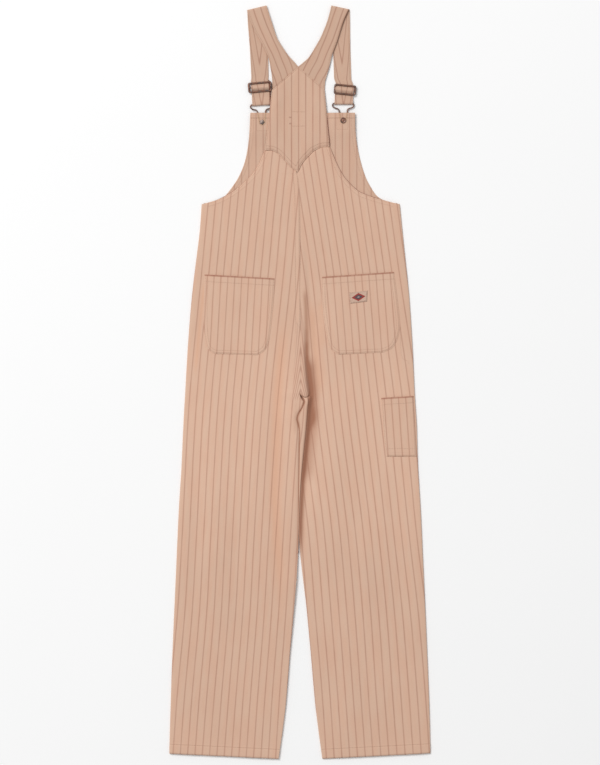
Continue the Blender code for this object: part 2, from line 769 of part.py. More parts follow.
def threaded_rows(last, fastening):
    """The strap through the slider, round the hook's bar and back under the slider."""
    half = STRAP_WALL / 2
    under_bars = STRAP_WALL + SEAM_GAP + half
    over_middle = SLIDER_PLANE + WIRE_RADIUS + SEAM_GAP + half
    half_width = np.linalg.norm(last[1] - last[0]) / 2
    turn = math.radians(fastening.slider_turn)
    aside = np.array((math.cos(turn), math.sin(turn)))
    up = np.array((-math.sin(turn), math.cos(turn)))
    centre = np.array(fastening.slider) + np.array((fastening.strap_shift, 0.0))
    rows = []
    for point in THREADING:
        height = under_bars + (over_middle - under_bars) * point.climb
        rows.append(across_strap(centre + up * point.above, aside, half_width, height))

    bar = np.array(fastening.hook_bar)
    hang = np.array(fastening.button) - bar
    hang = hang / np.linalg.norm(hang)
    bar_aside = np.array((-hang[1], hang[0]))
    loop_radius = WIRE_RADIUS + SEAM_GAP + half
    below = centre + up * THREADING[-1].above
    for point in LOOP_APPROACH:
        height = under_bars + (HOOK_BAR_PLANE + loop_radius - under_bars) * point.climb
        middle = below * (1 - point.part) + bar * point.part
        way_across = aside * (1 - point.part) + bar_aside * point.part
        rows.append(across_strap(middle, way_across, half_width, height))
    for step in range(1, FOLD_STEPS + 1):
        angle = math.pi * step / FOLD_STEPS
        middle = bar + hang * loop_radius * math.sin(angle)
        height = HOOK_BAR_PLANE + loop_radius * math.cos(angle)
        rows.append(across_strap(middle, bar_aside, half_width, height))
    for part in RETURN_PARTS:
        middle = bar * (1 - part) + centre * part
        rows.append(across_strap(middle, bar_aside * (1 - part) + aside * part, half_width, half))
    return rows


def with_height(section, height):
    return [(*point, height) for point in section]


def across_strap(middle, aside, half_width, height):
    """A row of a strap: its two ends, at one height."""
    return with_height(np.array([middle - aside * half_width, middle + aside * half_width]), height)


def strap(side, back, front, fastening, collection):
    sides = strap_rows(back, front, fastening)
    fractions = np.linspace(0, 1, STRAP_COLUMNS + 1)[None, :, None]
    points = sides[:, :1] * (1 - fractions) + sides[:, 1:] * fractions
    name = "strap_" + side
    return make_sheet(name, points, STRAP_WALL, 0, cloth(name, STRAP_COLOUR), collection)


# ---------------------------------------------------------------- cloth pieces


def bib(pile, collection):
    """The bib of the front, over the buttons and hooks that lie on the ground."""
    sections = joined_rows((BIB[:3], BIB[2:]), 2)
    plan = spread(sections, np.linspace(0, 1, BIB_COLUMNS + 1))
    name = "front_bib"
    return lay_sheet(name, plan, pile, np.zeros(plan.shape[:2]), cloth(name, INNER_COLOUR), collection)


def back_leg(side, tables, creases, pile, collection):
    """One back piece, from the hem to the yoke, with the side seam rolled."""
    sections = joined_rows(tables, 2)
    is_left = side == "left"
    fractions = columns_across(LEG_COLUMNS, is_left, not is_left, LEG_WIDTH)
    plan = spread(sections, fractions)
    if not is_left:
        plan = pleated_plan(plan)
    from_left, from_right = edge_distances(plan)
    from_side, from_seam = (from_left, from_right) if is_left else (from_right, from_left)
    loft = (LOFT + crease_height(plan, creases)) * roll(from_side)
    below_crotch = plan[:, :, 1] < CROTCH_HEIGHT + SEAM_GAP
    loft *= np.where(below_crotch, np.clip(from_seam / THIGH_PRESS, PRESSED_LOFT, 1), 1)
    loft += seat_lift(plan, from_seam, is_left)
    name = "back_leg_" + side
    held = (0, 1) if is_left else (-1, -2)
    return lay_sheet(name, plan, pile, loft, cloth(name), collection, held=held)


def pleated_plan(plan):
    """Moves the columns by the seat seam onto the edge and the foot of the seat pleat."""
    moved = plan.copy()
    pleat_top = max(section.height for section in SEAT_PLEAT)
    for row in moved:
        if row[0, 1] > pleat_top:
            continue
        width = read_table(SEAT_PLEAT, row[0, 1], PleatSection._fields.index("width"))
        across = (row[-1] - row[0]) / np.linalg.norm(row[-1] - row[0])
        row[1] = row[0] + across * width
        row[2] = row[0] + across * (width + PLEAT_DROP)
        reach = row[3] - row[0]
        if np.linalg.norm(reach) < width + 2 * PLEAT_DROP:
            row[3] = row[0] + across * (width + 2 * PLEAT_DROP)
    return moved


def seat_lift(plan, from_seam, is_left):
    """How far the seat stands up along its seam, on both sides, above the crotch."""
    lift = np.zeros(plan.shape[:2])
    ridge_column = PleatSection._fields.index("ridge")
    width_column = PleatSection._fields.index("width")
    for index, row in enumerate(plan):
        seam_height = row[-1, 1] if is_left else row[0, 1]
        ridge = read_table(SEAT_PLEAT, seam_height, ridge_column)
        width = read_table(SEAT_PLEAT, seam_height, width_column)
        if is_left:
            lift[index] = ridge * np.exp(-((from_seam[index] / SEAT_RIDGE_WIDTH) ** 2))
        else:
            lift[index] = ridge * (from_seam[index] <= width + 0.0001)
    return lift


def front_leg_right(pile, collection):
    """Flat on the ground, from the hem to the waist seam."""
    sections = smooth_rows(RIGHT_LEG, 1)
    sections[-1, 1] = sections[-1, 3] = WAIST_HEIGHT - SEAM_GAP
    plan = spread(sections, np.linspace(0, 1, FRONT_COLUMNS + 1))
    name = "front_leg_right"
    return lay_sheet(name, plan, pile, np.zeros(plan.shape[:2]), cloth(name, INNER_COLOUR), collection)


def front_leg_left(pile, collection):
    """Flat on the ground, then over the right leg's thigh and back over itself to the inseam."""
    crotch_row = [row.right_height for row in LEFT_LEG].index(CROTCH_HEIGHT)
    below = smooth_rows(LEFT_LEG[: crotch_row + 1], 2)
    above = smooth_rows(LEFT_LEG[crotch_row:], 1)
    above[0, (1, 3)] += SEAM_GAP
    above[-1, (1, 3)] = WAIST_HEIGHT - SEAM_GAP
    inseam = below[:, 2].copy()
    fold_column = ThighWrap._fields.index("fold")
    folds = np.array([read_table(THIGH_WRAP, section[3], fold_column) for section in below])
    below[:, 2] = folds - WALL - WRAP_GAP / 2
    plan = spread(np.concatenate([below, above]), FRONT_LEFT_FRACTIONS)
    flat = np.dstack([plan, settle(pile.rest(plan), (0, 1)) + WALL / 2])
    no_cover = np.full(len(above), np.inf)
    points = np.array([with_turn(row, end) for row, end in zip(flat, np.append(inseam, no_cover))])
    dropped = turn_left_out(plan, len(below) - 1, points.shape[1] - 1)
    name = "front_leg_left"
    obj = make_sheet(name, points, WALL, 0, cloth(name, INNER_COLOUR), collection, dropped)
    pile.add(obj)
    return obj


def with_turn(row, inseam):
    """A section of the left front, its fold at the inner thigh and the strip back to the inseam."""
    edge = row[-1]
    turn = (WALL + WRAP_GAP) / 2
    arc = [edge + (turn * math.sin(a), 0, turn * (1 - math.cos(a))) for a in np.radians((45, 90, 135))]
    cover = max(edge[0] - inseam - SEAM_GAP, WALL)
    strip = [edge + (-cover * part, 0, 2 * turn) for part in (0.0, 0.5, 1.0)]
    return [*row, *arc, *strip]


def turn_left_out(plan, crotch_row, cell_columns):
    """The cells of the turn that the cloth lacks: above the crotch, and the strip at the shin."""
    flat_cells = plan.shape[1] - 1
    strip_cells = cell_columns - 2
    lost = set()
    for row in range(len(plan) - 1):
        if row >= crotch_row:
            lost.update((row, column) for column in range(flat_cells, cell_columns))
        elif plan[row, -1, 1] < WRAP_START:
            lost.update((row, column) for column in range(strip_cells, cell_columns))
    return lost


def yoke(pile, collection):
    """The back yoke, pointed below at the seat seam and above at the neck."""
    edges = np.array(YOKE_EDGES)
    widths = np.array(YOKE_WIDTHS)
    fractions = edges[:, 0]
    lower = edges[:, 1] + SEAM_GAP
    upper = edges[:, 2] - SEAM_GAP / 2
    plan = []
    for part in np.linspace(0, 1, YOKE_ROWS):
        y = lower * (1 - part) + upper * part
        left = np.interp(y, widths[:, 0], widths[:, 1])
        right = np.interp(y, widths[:, 0], widths[:, 2])
        plan.append(np.stack([left * (1 - fractions) + right * fractions, y], axis=1))
    plan = np.array(plan)
    loft = np.full(plan.shape[:2], YOKE_LOFT)
    return lay_sheet("back_yoke", plan, pile, loft, cloth("back_yoke"), collection)


def patch(name, table, fractions, pile, collection, wall=WALL, colour=CLOTH_COLOUR):
    """A pocket or a label, laid on the panel that it is sewn to."""
    sections = smooth_rows(table, 2)
    plan = spread(sections, fractions)
    return lay_sheet(name, plan, pile, np.zeros(plan.shape[:2]), cloth(name, colour), collection, wall)


# ---------------------------------------------------------------- the garment


def build():
    clear_scene()
    parts = new_collection("bib_overalls")
    guides = new_collection("guides")
    pile = Pile()
    for side, fastening in FASTENINGS.items():
        slider(side, fastening, parts, guides)
        pile.add(hook(side, fastening, parts))
        pile.add(button(side, fastening, parts))
    bib(pile, parts)
    for side, fastening in FASTENINGS.items():
        rivet(side, fastening, pile, parts)
    front_leg_right(pile, parts)
    back_leg("right", (RIGHT_LEG, RIGHT_UPPER, RIGHT_TOP), RIGHT_CREASES, pile, parts)
    front_leg_left(pile, parts)
    back_leg("left", (LEFT_LEG, LEFT_UPPER, LEFT_TOP), LEFT_CREASES, pile, parts)
    yoke(pile, parts)
    strap("left", LEFT_STRAP_BACK, LEFT_STRAP_FRONT, FASTENINGS["left"], parts)
    strap("right", RIGHT_STRAP_BACK, RIGHT_STRAP_FRONT, FASTENINGS["right"], parts)
    pocket_columns = np.linspace(0, 1, POCKET_COLUMNS + 1)
    patch("pocket_left", LEFT_POCKET, pocket_columns, pile, parts)
    patch("pocket_right", RIGHT_POCKET, pocket_columns, pile, parts)
    patch("tool_pocket", TOOL_POCKET, columns_across(3, False, True, TOOL_POCKET_WIDTH), pile, parts)
    label_columns = np.linspace(0, 1, LABEL_COLUMNS + 1)
    patch("label_patch", LABEL, label_columns, pile, parts, LABEL_WALL, LABEL_COLOUR)


build()
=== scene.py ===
"""Bib overalls laid flat on their front, back up: fine cloth, seams, stitches and fastenings.

Metres, +X to the right of the view, +Y from the hems to the shoulder folds, +Z up. Tables
of places on the garment are in millimetres.
"""

import math
from collections import namedtuple

import bmesh
import bpy
import numpy as np
from mathutils import Matrix, Vector, noise
from mathutils.bvhtree import BVHTree


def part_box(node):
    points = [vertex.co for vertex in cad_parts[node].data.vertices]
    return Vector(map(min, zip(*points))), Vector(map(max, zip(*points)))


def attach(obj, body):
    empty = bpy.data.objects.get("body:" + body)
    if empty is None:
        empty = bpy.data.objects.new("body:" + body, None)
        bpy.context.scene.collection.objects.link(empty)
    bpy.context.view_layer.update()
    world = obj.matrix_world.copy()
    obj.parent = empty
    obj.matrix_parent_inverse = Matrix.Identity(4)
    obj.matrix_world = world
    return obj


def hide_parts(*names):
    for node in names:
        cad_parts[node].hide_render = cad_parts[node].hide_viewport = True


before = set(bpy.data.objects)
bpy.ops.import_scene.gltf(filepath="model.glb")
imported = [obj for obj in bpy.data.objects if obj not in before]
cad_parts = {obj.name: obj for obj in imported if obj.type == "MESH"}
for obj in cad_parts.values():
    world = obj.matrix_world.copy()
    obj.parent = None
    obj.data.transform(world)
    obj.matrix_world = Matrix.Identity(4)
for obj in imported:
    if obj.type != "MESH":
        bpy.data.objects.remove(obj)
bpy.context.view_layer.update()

bl_info = {
    "name": "Bib overalls flat lay",
    "version": (1, 0, 0),
    "blender": (4, 5, 0),
    "location": "View3D > Sidebar > Overalls",
    "description": "Striped bib overalls laid flat: cloth, seams, stitches and fastenings",
    "category": "Object",
}

MM = 0.001
BODY = "root"

# ---------------------------------------------------------------- sizes of the making

MERGE = 0.00002  # distance at which a copied solid's loose triangles join
SEAM = 0.000002  # distance at which the seams of wires and turned pieces join
SHARP_EDGE = math.radians(60)  # a sheet's rim is sharper than this
SKY = 0.2  # height from which a surface is felt
GAP = 0.0003  # between pieces that lie on each other
DENSE = 0.0005  # spacing of the points along a side while it is measured
STRAP_WALL = 0.0014
PATCH_WALL = 0.0007
INSET = 0.004  # share of the way to the middle line at which a solid's edge is felt
PULLED_IN = 0.0008  # and of the way to the middle of the piece
CREASE_FADE = 0.25  # share of a crease's path over which it fades

Tie = namedtuple("Tie", "left right")

# The corners of each sheet, and the places on its two sides that belong to one section.
TIES = {
    "back_leg_left": (
        Tie((-260.6, -743.4), (-42.4, -753.6)),
        Tie((-195.9, 354.6), (-1.7, 354.6)),
        Tie((-96.2, 412.0), (-5.7, 417.6)),
        Tie((-70.0, 462.0), (-54.0, 461.2)),
    ),
    "back_leg_right": (
        Tie((45.0, -753.6), (260.8, -742.4)),
        Tie((-1.4, 354.6), (199.4, 354.6)),
        Tie((-5.4, 417.6), (89.6, 408.2)),
        Tie((43.0, 467.2), (60.6, 468.8)),
    ),
    "front_leg_right": (
        Tie((45.0, -753.6), (260.8, -742.4)),
        Tie((-1.4, 355.7), (199.4, 355.7)),
    ),
    "front_bib": (
        Tie((-193.0, 356.3), (196.5, 356.3)),
        Tie((-99.0, 537.7), (110.4, 537.7)),
    ),
    "pocket_left": (
        Tie((-169.0, 56.0), (-85.0, 53.6)),
        Tie((-190.4, 214.4), (-50.6, 206.6)),
    ),
    "pocket_right": (
        Tie((79.0, 54.5), (165.0, 58.6)),
        Tie((44.4, 209.6), (188.4, 219.6)),
    ),
    "tool_pocket": (
        Tie((173.6, -149.4), (233.2, -149.4)),
        Tie((162.8, -32.4), (227.5, -28.4)),
    ),
    "label_patch": (
        Tie((98.0, 156.8), (135.6, 156.8)),
        Tie((97.8, 182.8), (135.4, 182.8)),
    ),
    "back_yoke": (
        Tie((-69.6, 463.1), (-55.8, 583.1)),
        Tie((-5.7, 418.4), (-3.0, 630.1)),
        Tie((61.4, 470.1), (49.6, 584.7)),
    ),
}

# Where chosen stripes of a leg run: the places of three of them at each height.
Grain = namedtuple("Grain", "height first second third")
LEFT_GRAIN = (
    Grain(480, -171.6, -83.4, 9.6),
    Grain(378, -181.2, -93.2, -2.8),
    Grain(224, -195.6, -107.8, -16.6),
    Grain(-36, -220.6, -133.6, -44.0),
    Grain(-316, -235.6, -149.6, -62.6),
    Grain(-456, -244.0, -156.6, -70.6),
    Grain(-636, -260.6, -171.6, -84.6),
    Grain(-752, -268.6, -181.0, -92.6),
)
LEFT_STRIPES = (0, 6, 12)
RIGHT_GRAIN = (
    Grain(480, -45.4, 28.2, 101.8),
    Grain(378, -30.0, 43.4, 117.2),
    Grain(224, -6.6, 66.8, 139.6),
    Grain(-76, 21.0, 98.4, 178.4),
    Grain(-316, 50.4, 128.4, 204.4),
    Grain(-456, 62.0, 141.2, 220.4),
    Grain(-636, 76.4, 153.4, 235.4),
    Grain(-752, 84.4, 162.4, 243.4),
)
RIGHT_STRIPES = (-3, 2, 7)
GRAIN_BLEND = 0.02  # width over which the spacing changes at the second one

# A line down the left inner thigh, beside the fold.
THIGH_LINE = ((-34, 98), (-39, 48), (-42, -2), (-45, -68), (-50, -236), (-44, -336), (-34, -482))

# Soft creases: a trough has a negative rise. Each runs along its points and fades at its ends.
Crease = namedtuple("Crease", "path half_width rise")
CREASES = {
    "back_leg_left": (
        Crease(((-26, 148), *THIGH_LINE), 13, -1.0),
        Crease(((-206, -130), (-206, -336), (-220, -476)), 15, -1.0),
        Crease(((-126, -268), (-126, -468)), 14, -0.8),
        Crease(((-118, 164), (-124, 44)), 14, -0.9),
        Crease(((-192, 240), (-199, 124), (-206, 64)), 9, -0.9),
        Crease(((-86, -30), (-92, -220)), 20, 0.8),
        Crease(((-165, -120), (-172, -420)), 20, 0.8),
        Crease(((-150, 345), (-110, 250)), 16, 0.6),
        Crease(((-60, 330), (-50, 240)), 18, -0.5),
    ),
    "back_leg_right": (
        Crease(((126, -302), (140, -468)), 12, 0.9),
        Crease(((41, 164), (40, 104)), 12, -0.9),
        Crease(((70, -60), (88, -250), (104, -420)), 24, 0.7),
        Crease(((186, -180), (204, -480)), 18, -0.7),
        Crease(((150, 340), (120, 250)), 18, 0.5),
        Crease(((60, 330), (52, 240)), 16, -0.5),
        Crease(((96, -560), (104, -700)), 20, 0.6),
    ),
}

# The fold of the seat and of the left inner thigh, which lies over the right leg: its edge,
# and how high the cloth stands there.
Fold = namedtuple("Fold", "height edge top")
FOLD = (
    Fold(300, 1.0, 4.6),
    Fold(240, 7.0, 5.2),
    Fold(192, 10.6, 6.2),
    Fold(150, 11.6, 7.6),
    Fold(122, 11.0, 8.8),
    Fold(84, 10.2, 10.2),
    Fold(48, 10.4, 11.4),
    Fold(14, 12.8, 12.6),
    Fold(-10, 16.0, 13.2),
    Fold(-28, 18.2, 13.4),
    Fold(-52, 16.2, 13.0),
    Fold(-96, 12.8, 11.6),
    Fold(-136, 8.6, 10.2),
    Fold(-196, 2.6, 8.6),
    Fold(-276, -1.4, 7.0),
    Fold(-346, -3.4, 5.6),
    Fold(-400, -6.9, 4.2),
)
FOLD_FULL = (190, 84)  # above the first height there is no fold, below the second it is whole
CROTCH = -26
STRIP_TOP = -16  # the turned front starts here, below the seat fold
WRAP_END = -346  # below this the inseam lies on the leg's own edge

# The groove of the left inseam, which the turned front meets, and its width. The wide place
# is the hollow where the four leg pieces meet.
Groove = namedtuple("Groove", "height middle width")
GROOVE = (
    Groove(-20, -1.2, 0.4),
    Groove(-26, 0.6, 1.6),
    Groove(-31, 3.8, 4.0),
    Groove(-36, 7.4, 3.2),
    Groove(-40, 9.2, 1.6),
    Groove(-46, 7.6, 0.9),
    Groove(-56, 2.6, 0.8),
    Groove(-64, -2.2, 0.8),
    Groove(-74, -5.0, 0.9),
    Groove(-84, -2.6, 0.7),
    Groove(-96, -0.8, 0.6),
    Groove(-120, -0.8, 0.6),
    Groove(-196, -1.6, 0.6),
    Groove(-300, -2.6, 0.6),
    Groove(-346, -4.0, 0.6),
)


# ---------------------------------------------------------------- paths and grids


def in_metres(points):
    return np.array(points, float) * MM


def reaches(path):
    """The distance along a path to each of its points."""
    return np.concatenate([[0.0], np.cumsum(np.linalg.norm(np.diff(path, axis=0), axis=1))])


def points_at(path, stops):
    """The points at given distances along a path."""
    reach = reaches(path)
    return np.stack([np.interp(stops, reach, values) for values in path.T], axis=1)


def dense(path):
    """Points every half millimetre along a path."""
    length = reaches(path)[-1]
    return points_at(path, np.linspace(0, length, max(3, int(length / DENSE))))


def along(path, parts):
    """Points at given fractions of a path's length."""
    return points_at(path, np.asarray(parts) * reaches(path)[-1])


def smooth_step(values, low, high):
    """0 at low, 1 at high, and a soft step between; the other way where high is lower."""
    part = np.clip((values - low) / (high - low), 0, 1)
    return part * part * (3 - 2 * part)


def soften(values, spread, axis=0):
    """Evens out values along an axis, and keeps the first and the last where they are."""
    reach = int(min(3 * spread, values.shape[axis] - 1))
    if reach < 1:
        return values
    steps = np.arange(-reach, reach + 1)
    weights = np.exp(-0.5 * (steps / spread) ** 2)
    weights /= weights.sum()
    widths = [(0, 0)] * values.ndim
    widths[axis] = (reach, reach)
    wide = np.pad(values, widths, mode="reflect", reflect_type="odd")
    return np.apply_along_axis(lambda line: np.convolve(line, weights, mode="valid"), axis, wide)


def curve_through(table, heights):
    """A table's other columns at given heights of its first one, on smooth curves."""
    rows = in_metres(sorted(table))
    knots = rows[:, 0]
    slopes = np.gradient(rows, knots, axis=0)
    heights = np.clip(heights, knots[0], knots[-1])
    index = np.clip(np.searchsorted(knots, heights) - 1, 0, len(knots) - 2)
    width = (knots[index + 1] - knots[index])[..., None]
    part = ((heights - knots[index])[..., None]) / width
    start = (1 + 2 * part) * (1 - part) ** 2 * rows[index]
    end = part**2 * (3 - 2 * part) * rows[index + 1]
    leave = part * (1 - part) ** 2 * width * slopes[index]
    arrive = part**2 * (part - 1) * width * slopes[index + 1]
    return (start + end + leave + arrive)[..., 1:]


def copied_side(node):
    """A merged copy of one side of a solid sheet, without its rim and its other side."""
    mesh = bmesh.new()
    mesh.from_mesh(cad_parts[node].data)
    bmesh.ops.remove_doubles(mesh, verts=mesh.verts, dist=MERGE)
    seed = max(mesh.faces, key=lambda face: face.normal.z * face.calc_area())
    kept = {seed}
    waiting = [seed]
    while waiting:
        for edge in waiting.pop().edges:
            if len(edge.link_faces) != 2 or edge.calc_face_angle() > SHARP_EDGE:
                continue
            for face in edge.link_faces:
                if face not in kept:
                    kept.add(face)
                    waiting.append(face)
    lost = [face for face in mesh.faces if face not in kept]
    bmesh.ops.delete(mesh, geom=lost, context="FACES")
    return mesh


def outline_of(node):
    """The points round one side of a solid sheet, in order."""
    mesh = copied_side(node)
    first = next(vertex for vertex in mesh.verts if vertex.is_boundary)
    loop = [first]
    before = None
    while True:
        here = loop[-1]
        ahead = [edge.other_vert(here) for edge in here.link_edges if edge.is_boundary]
        step = next(vertex for vertex in ahead if vertex is not before)
        if step is first:
            break
        before = here
        loop.append(step)
    points = np.array([vertex.co for vertex in loop])
    mesh.free()
    return points


def nearest(points, place):
    place = np.asarray(place, float)
    return int(np.argmin(np.linalg.norm(points[:, : len(place)] - place, axis=1)))


def two_sides(outline, ties):
    """The left and the right side of a sheet, from its first tie to its last."""
    closed = dense(np.concatenate([outline, outline[:1]]))[:-1]
    start = nearest(closed, ties[0].left)
    turned = np.roll(closed, -start, axis=0)
    if nearest(turned, ties[0].right) < nearest(turned, ties[-1].left):
        turned = np.roll(turned[::-1], 1, axis=0)
    left = turned[: nearest(turned, ties[-1].left) + 1]
    low, high = nearest(turned, ties[-1].right), nearest(turned, ties[0].right)
    right = turned[low : high + 1][::-1]
    return left, right


def sections(left, right, ties, cell, rounding):
    """The two ends of each fine section of a sheet: (sections, 2, coordinates)."""
    left_stops = [nearest(left, tie.left) for tie in ties]
    right_stops = [nearest(right, tie.right) for tie in ties]
    made = []
    for index in range(len(ties) - 1):
        spans = (
            soften(left[left_stops[index] : left_stops[index + 1] + 1], rounding / DENSE),
            soften(right[right_stops[index] : right_stops[index + 1] + 1], rounding / DENSE),
        )
        length = DENSE * (len(spans[0]) + len(spans[1])) / 2
        parts = np.linspace(0, 1, max(2, round(length / cell)) + 1)
        rows = np.stack([along(span, parts) for span in spans], axis=1)
        made.append(rows if index == 0 else rows[1:])
    return np.concatenate(made)


def across(ends, parts):
    """The points of a sheet at given fractions of its sections."""
    parts = np.asarray(parts)[None, :, None]
    return ends[:, :1] * (1 - parts) + ends[:, 1:] * parts


def fractions(width, cell, fine_edge=0.004):
    """Fractions across a sheet, with narrow cells inside both edges."""
    near = fine_edge / width
    middle = np.linspace(near, 1 - near, max(2, round(width * (1 - 2 * near) / cell)) + 1)
    edge = near * np.array((0.0, 0.12, 0.35, 0.65))
    return np.concatenate([edge, middle, 1 - edge[::-1]])


class Surface:
    """Solids and finished pieces, felt from above or from below."""

    def __init__(self, *objects):
        self.trees = []
        for obj in objects:
            self.add(obj)

    def add(self, obj):
        graph = bpy.context.evaluated_depsgraph_get()
        shape = obj.evaluated_get(graph).to_mesh()
        places = [vertex.co.copy() for vertex in shape.vertices]
        faces = [tuple(polygon.vertices) for polygon in shape.polygons]
        self.trees.append(BVHTree.FromPolygons(places, faces))

    def feel(self, x, y, from_below=False):
        """The outermost place and its normal above or below (x, y), or None."""
        start = Vector((x, y, -SKY if from_below else SKY))
        way = Vector((0, 0, 1 if from_below else -1))
        found = None
        for tree in self.trees:
            place, normal = tree.ray_cast(start, way, 2 * SKY)[:2]
            if place is None:
                continue
            if found is None or (place.z < found[0].z if from_below else place.z > found[0].z):
                found = (place, normal)
        return found

    def heights(self, plan, from_below=False, inset=INSET):
        """The height felt at each point of a plan, whose outer points feel a little further in."""
        middle = plan.mean(axis=(0, 1))
        felt = np.full(plan.shape[:2], np.nan)
        centre_line = plan[:, [0, -1]].mean(axis=1)[:, None]
        pulled = plan + (centre_line - plan) * inset
        pulled += (middle - pulled) * PULLED_IN
        for index in np.ndindex(felt.shape):
            hit = self.feel(*pulled[index], from_below)
            if hit is not None:
                felt[index] = hit[0].z
        return fill_gaps(felt)


def fill_gaps(felt):
    """Gives places that felt nothing the height of the nearest one in their section."""
    columns = np.arange(felt.shape[1])
    good_rows = [row for row in felt if np.isfinite(row).any()]
    for row in felt:
        known = np.isfinite(row)
        if known.any():
            row[~known] = np.interp(columns[~known], columns[known], row[known])
        else:
            row[:] = good_rows[0]
    return felt


def path_distance(plan, path):
    """How far each point of a plan is from a path, and the fraction of the path it is beside."""
    lengths = np.linalg.norm(np.diff(path, axis=0), axis=1)
    starts = np.concatenate([[0.0], np.cumsum(lengths)])
    best = np.full(plan.shape[:2], np.inf)
    beside = np.zeros(plan.shape[:2])
    for start, way, reach, length in zip(path, np.diff(path, axis=0), starts, lengths):
        part = np.clip(((plan - start) @ way) / (way @ way), 0, 1)
        apart = np.linalg.norm(plan - (start + part[..., None] * way), axis=2)
        closer = apart < best
        best = np.where(closer, apart, best)
        beside = np.where(closer, (reach + part * length) / starts[-1], beside)
    return best, beside


def crease_heights(plan, creases):
    """The rise of soft creases at each point of a plan."""
    rise = np.zeros(plan.shape[:2])
    for crease in creases:
        apart, beside = path_distance(plan, in_metres(crease.path))
        fade = smooth_step(np.minimum(beside, 1 - beside), 0.0, CREASE_FADE)
        shape = np.exp(-((apart / (crease.half_width * MM)) ** 2))
        rise += crease.rise * MM * fade * shape
    return rise


def ripple(plan, scale, seed):
    """Smooth uneven waves, from about -1 to 1, longer along the garment than across it."""
    made = np.zeros(plan.shape[:2])
    for index in np.ndindex(made.shape):
        x, y = plan[index]
        made[index] = noise.noise(Vector((x / scale, y / (3.2 * scale), seed)))
    return made


# ---------------------------------------------------------------- making objects


def add_piece(name, data, material, slot, *nodes):
    """Links a finished piece, which rides on the garment and stands for the given solids."""
    obj = bpy.data.objects.new(name, data)
    bpy.context.scene.collection.objects.link(obj)
    data.materials.append(material)
    if "columns" in data:
        obj["columns"] = data["columns"]
    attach(obj, BODY)
    if nodes:
        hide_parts(*nodes)
    return obj


def grid_data(name, points, coordinates, marks=None, lost=None):
    """A grid mesh with its points set to (rows, columns, 3), a UV map and attributes."""
    rows, columns = points.shape[:2]
    mesh = bmesh.new()
    bmesh.ops.create_grid(mesh, x_segments=columns - 1, y_segments=rows - 1, size=1.0)
    if lost is not None:
        gone = []
        for face in mesh.faces:
            middle = face.calc_center_median()
            cell = (int((middle.y + 1) / 2 * (rows - 1)), int((middle.x + 1) / 2 * (columns - 1)))
            if lost[cell]:
                gone.append(face)
        bmesh.ops.delete(mesh, geom=gone, context="FACES")
    data = bpy.data.meshes.new(name)
    mesh.to_mesh(data)
    mesh.free()
    flat = np.empty(len(data.vertices) * 3, np.float32)
    data.vertices.foreach_get("co", flat)
    flat = flat.reshape(-1, 3)
    column = np.rint((flat[:, 0] + 1) / 2 * (columns - 1)).astype(int)
    row = np.rint((flat[:, 1] + 1) / 2 * (rows - 1)).astype(int)
    data.vertices.foreach_set("co", points[row, column].astype(np.float32).ravel())
    corners = np.empty(len(data.loops), np.int32)
    data.loops.foreach_get("vertex_index", corners)
    layer = data.uv_layers.new(name="UVMap")
    layer.data.foreach_set("uv", coordinates[row, column][corners].astype(np.float32).ravel())
    for mark, values in (marks or {}).items():
        attribute = data.attributes.new(mark, "FLOAT", "POINT")
        attribute.data.foreach_set("value", values[row, column].astype(np.float32))
    data.shade_smooth()
    data.update()
    data["columns"] = columns
    return data


def thicken(obj, wall, side=-1.0):
    """Gives a sheet its wall, on the side away from its normals."""
    solidify = obj.modifiers.new("Wall", "SOLIDIFY")
    solidify.thickness = wall
    solidify.offset = side
    solidify.use_even_offset = False
    return obj


def edge_reach(points):
    """Distances of each point of a grid from its left, right, first and last edge."""
    steps = np.linalg.norm(np.diff(points, axis=1), axis=2)
    from_left = np.pad(np.cumsum(steps, axis=1), ((0, 0), (1, 0)))
    steps = np.linalg.norm(np.diff(points, axis=0), axis=2)
    from_start = np.pad(np.cumsum(steps, axis=0), ((1, 0), (0, 0)))
    return from_left, from_left[:, -1:] - from_left, from_start, from_start[-1:] - from_start


def stripe_number(plan, grain, numbers):
    """The count of stripes at each point of a plan, from where chosen stripes run."""
    lines = curve_through(grain, plan[..., 1])
    first, second, third = (lines[..., index] for index in range(3))
    x = plan[..., 0]
    low = numbers[0] + (x - first) / (second - first) * (numbers[1] - numbers[0])
    high = numbers[1] + (x - second) / (third - second) * (numbers[2] - numbers[1])
    blend = np.clip((x - second) / GRAIN_BLEND + 0.5, 0, 1)
    return low * (1 - blend) + high * blend


def straight_stripes(plan, first, spacing, lean):
    """The count of stripes on a piece whose grain is straight, at a lean in degrees."""
    turn = math.radians(lean)
    x = plan[..., 0] - plan[..., 1] * math.tan(turn)
    return (x - first * MM) / (spacing * MM)


# ---------------------------------------------------------------- shader maths


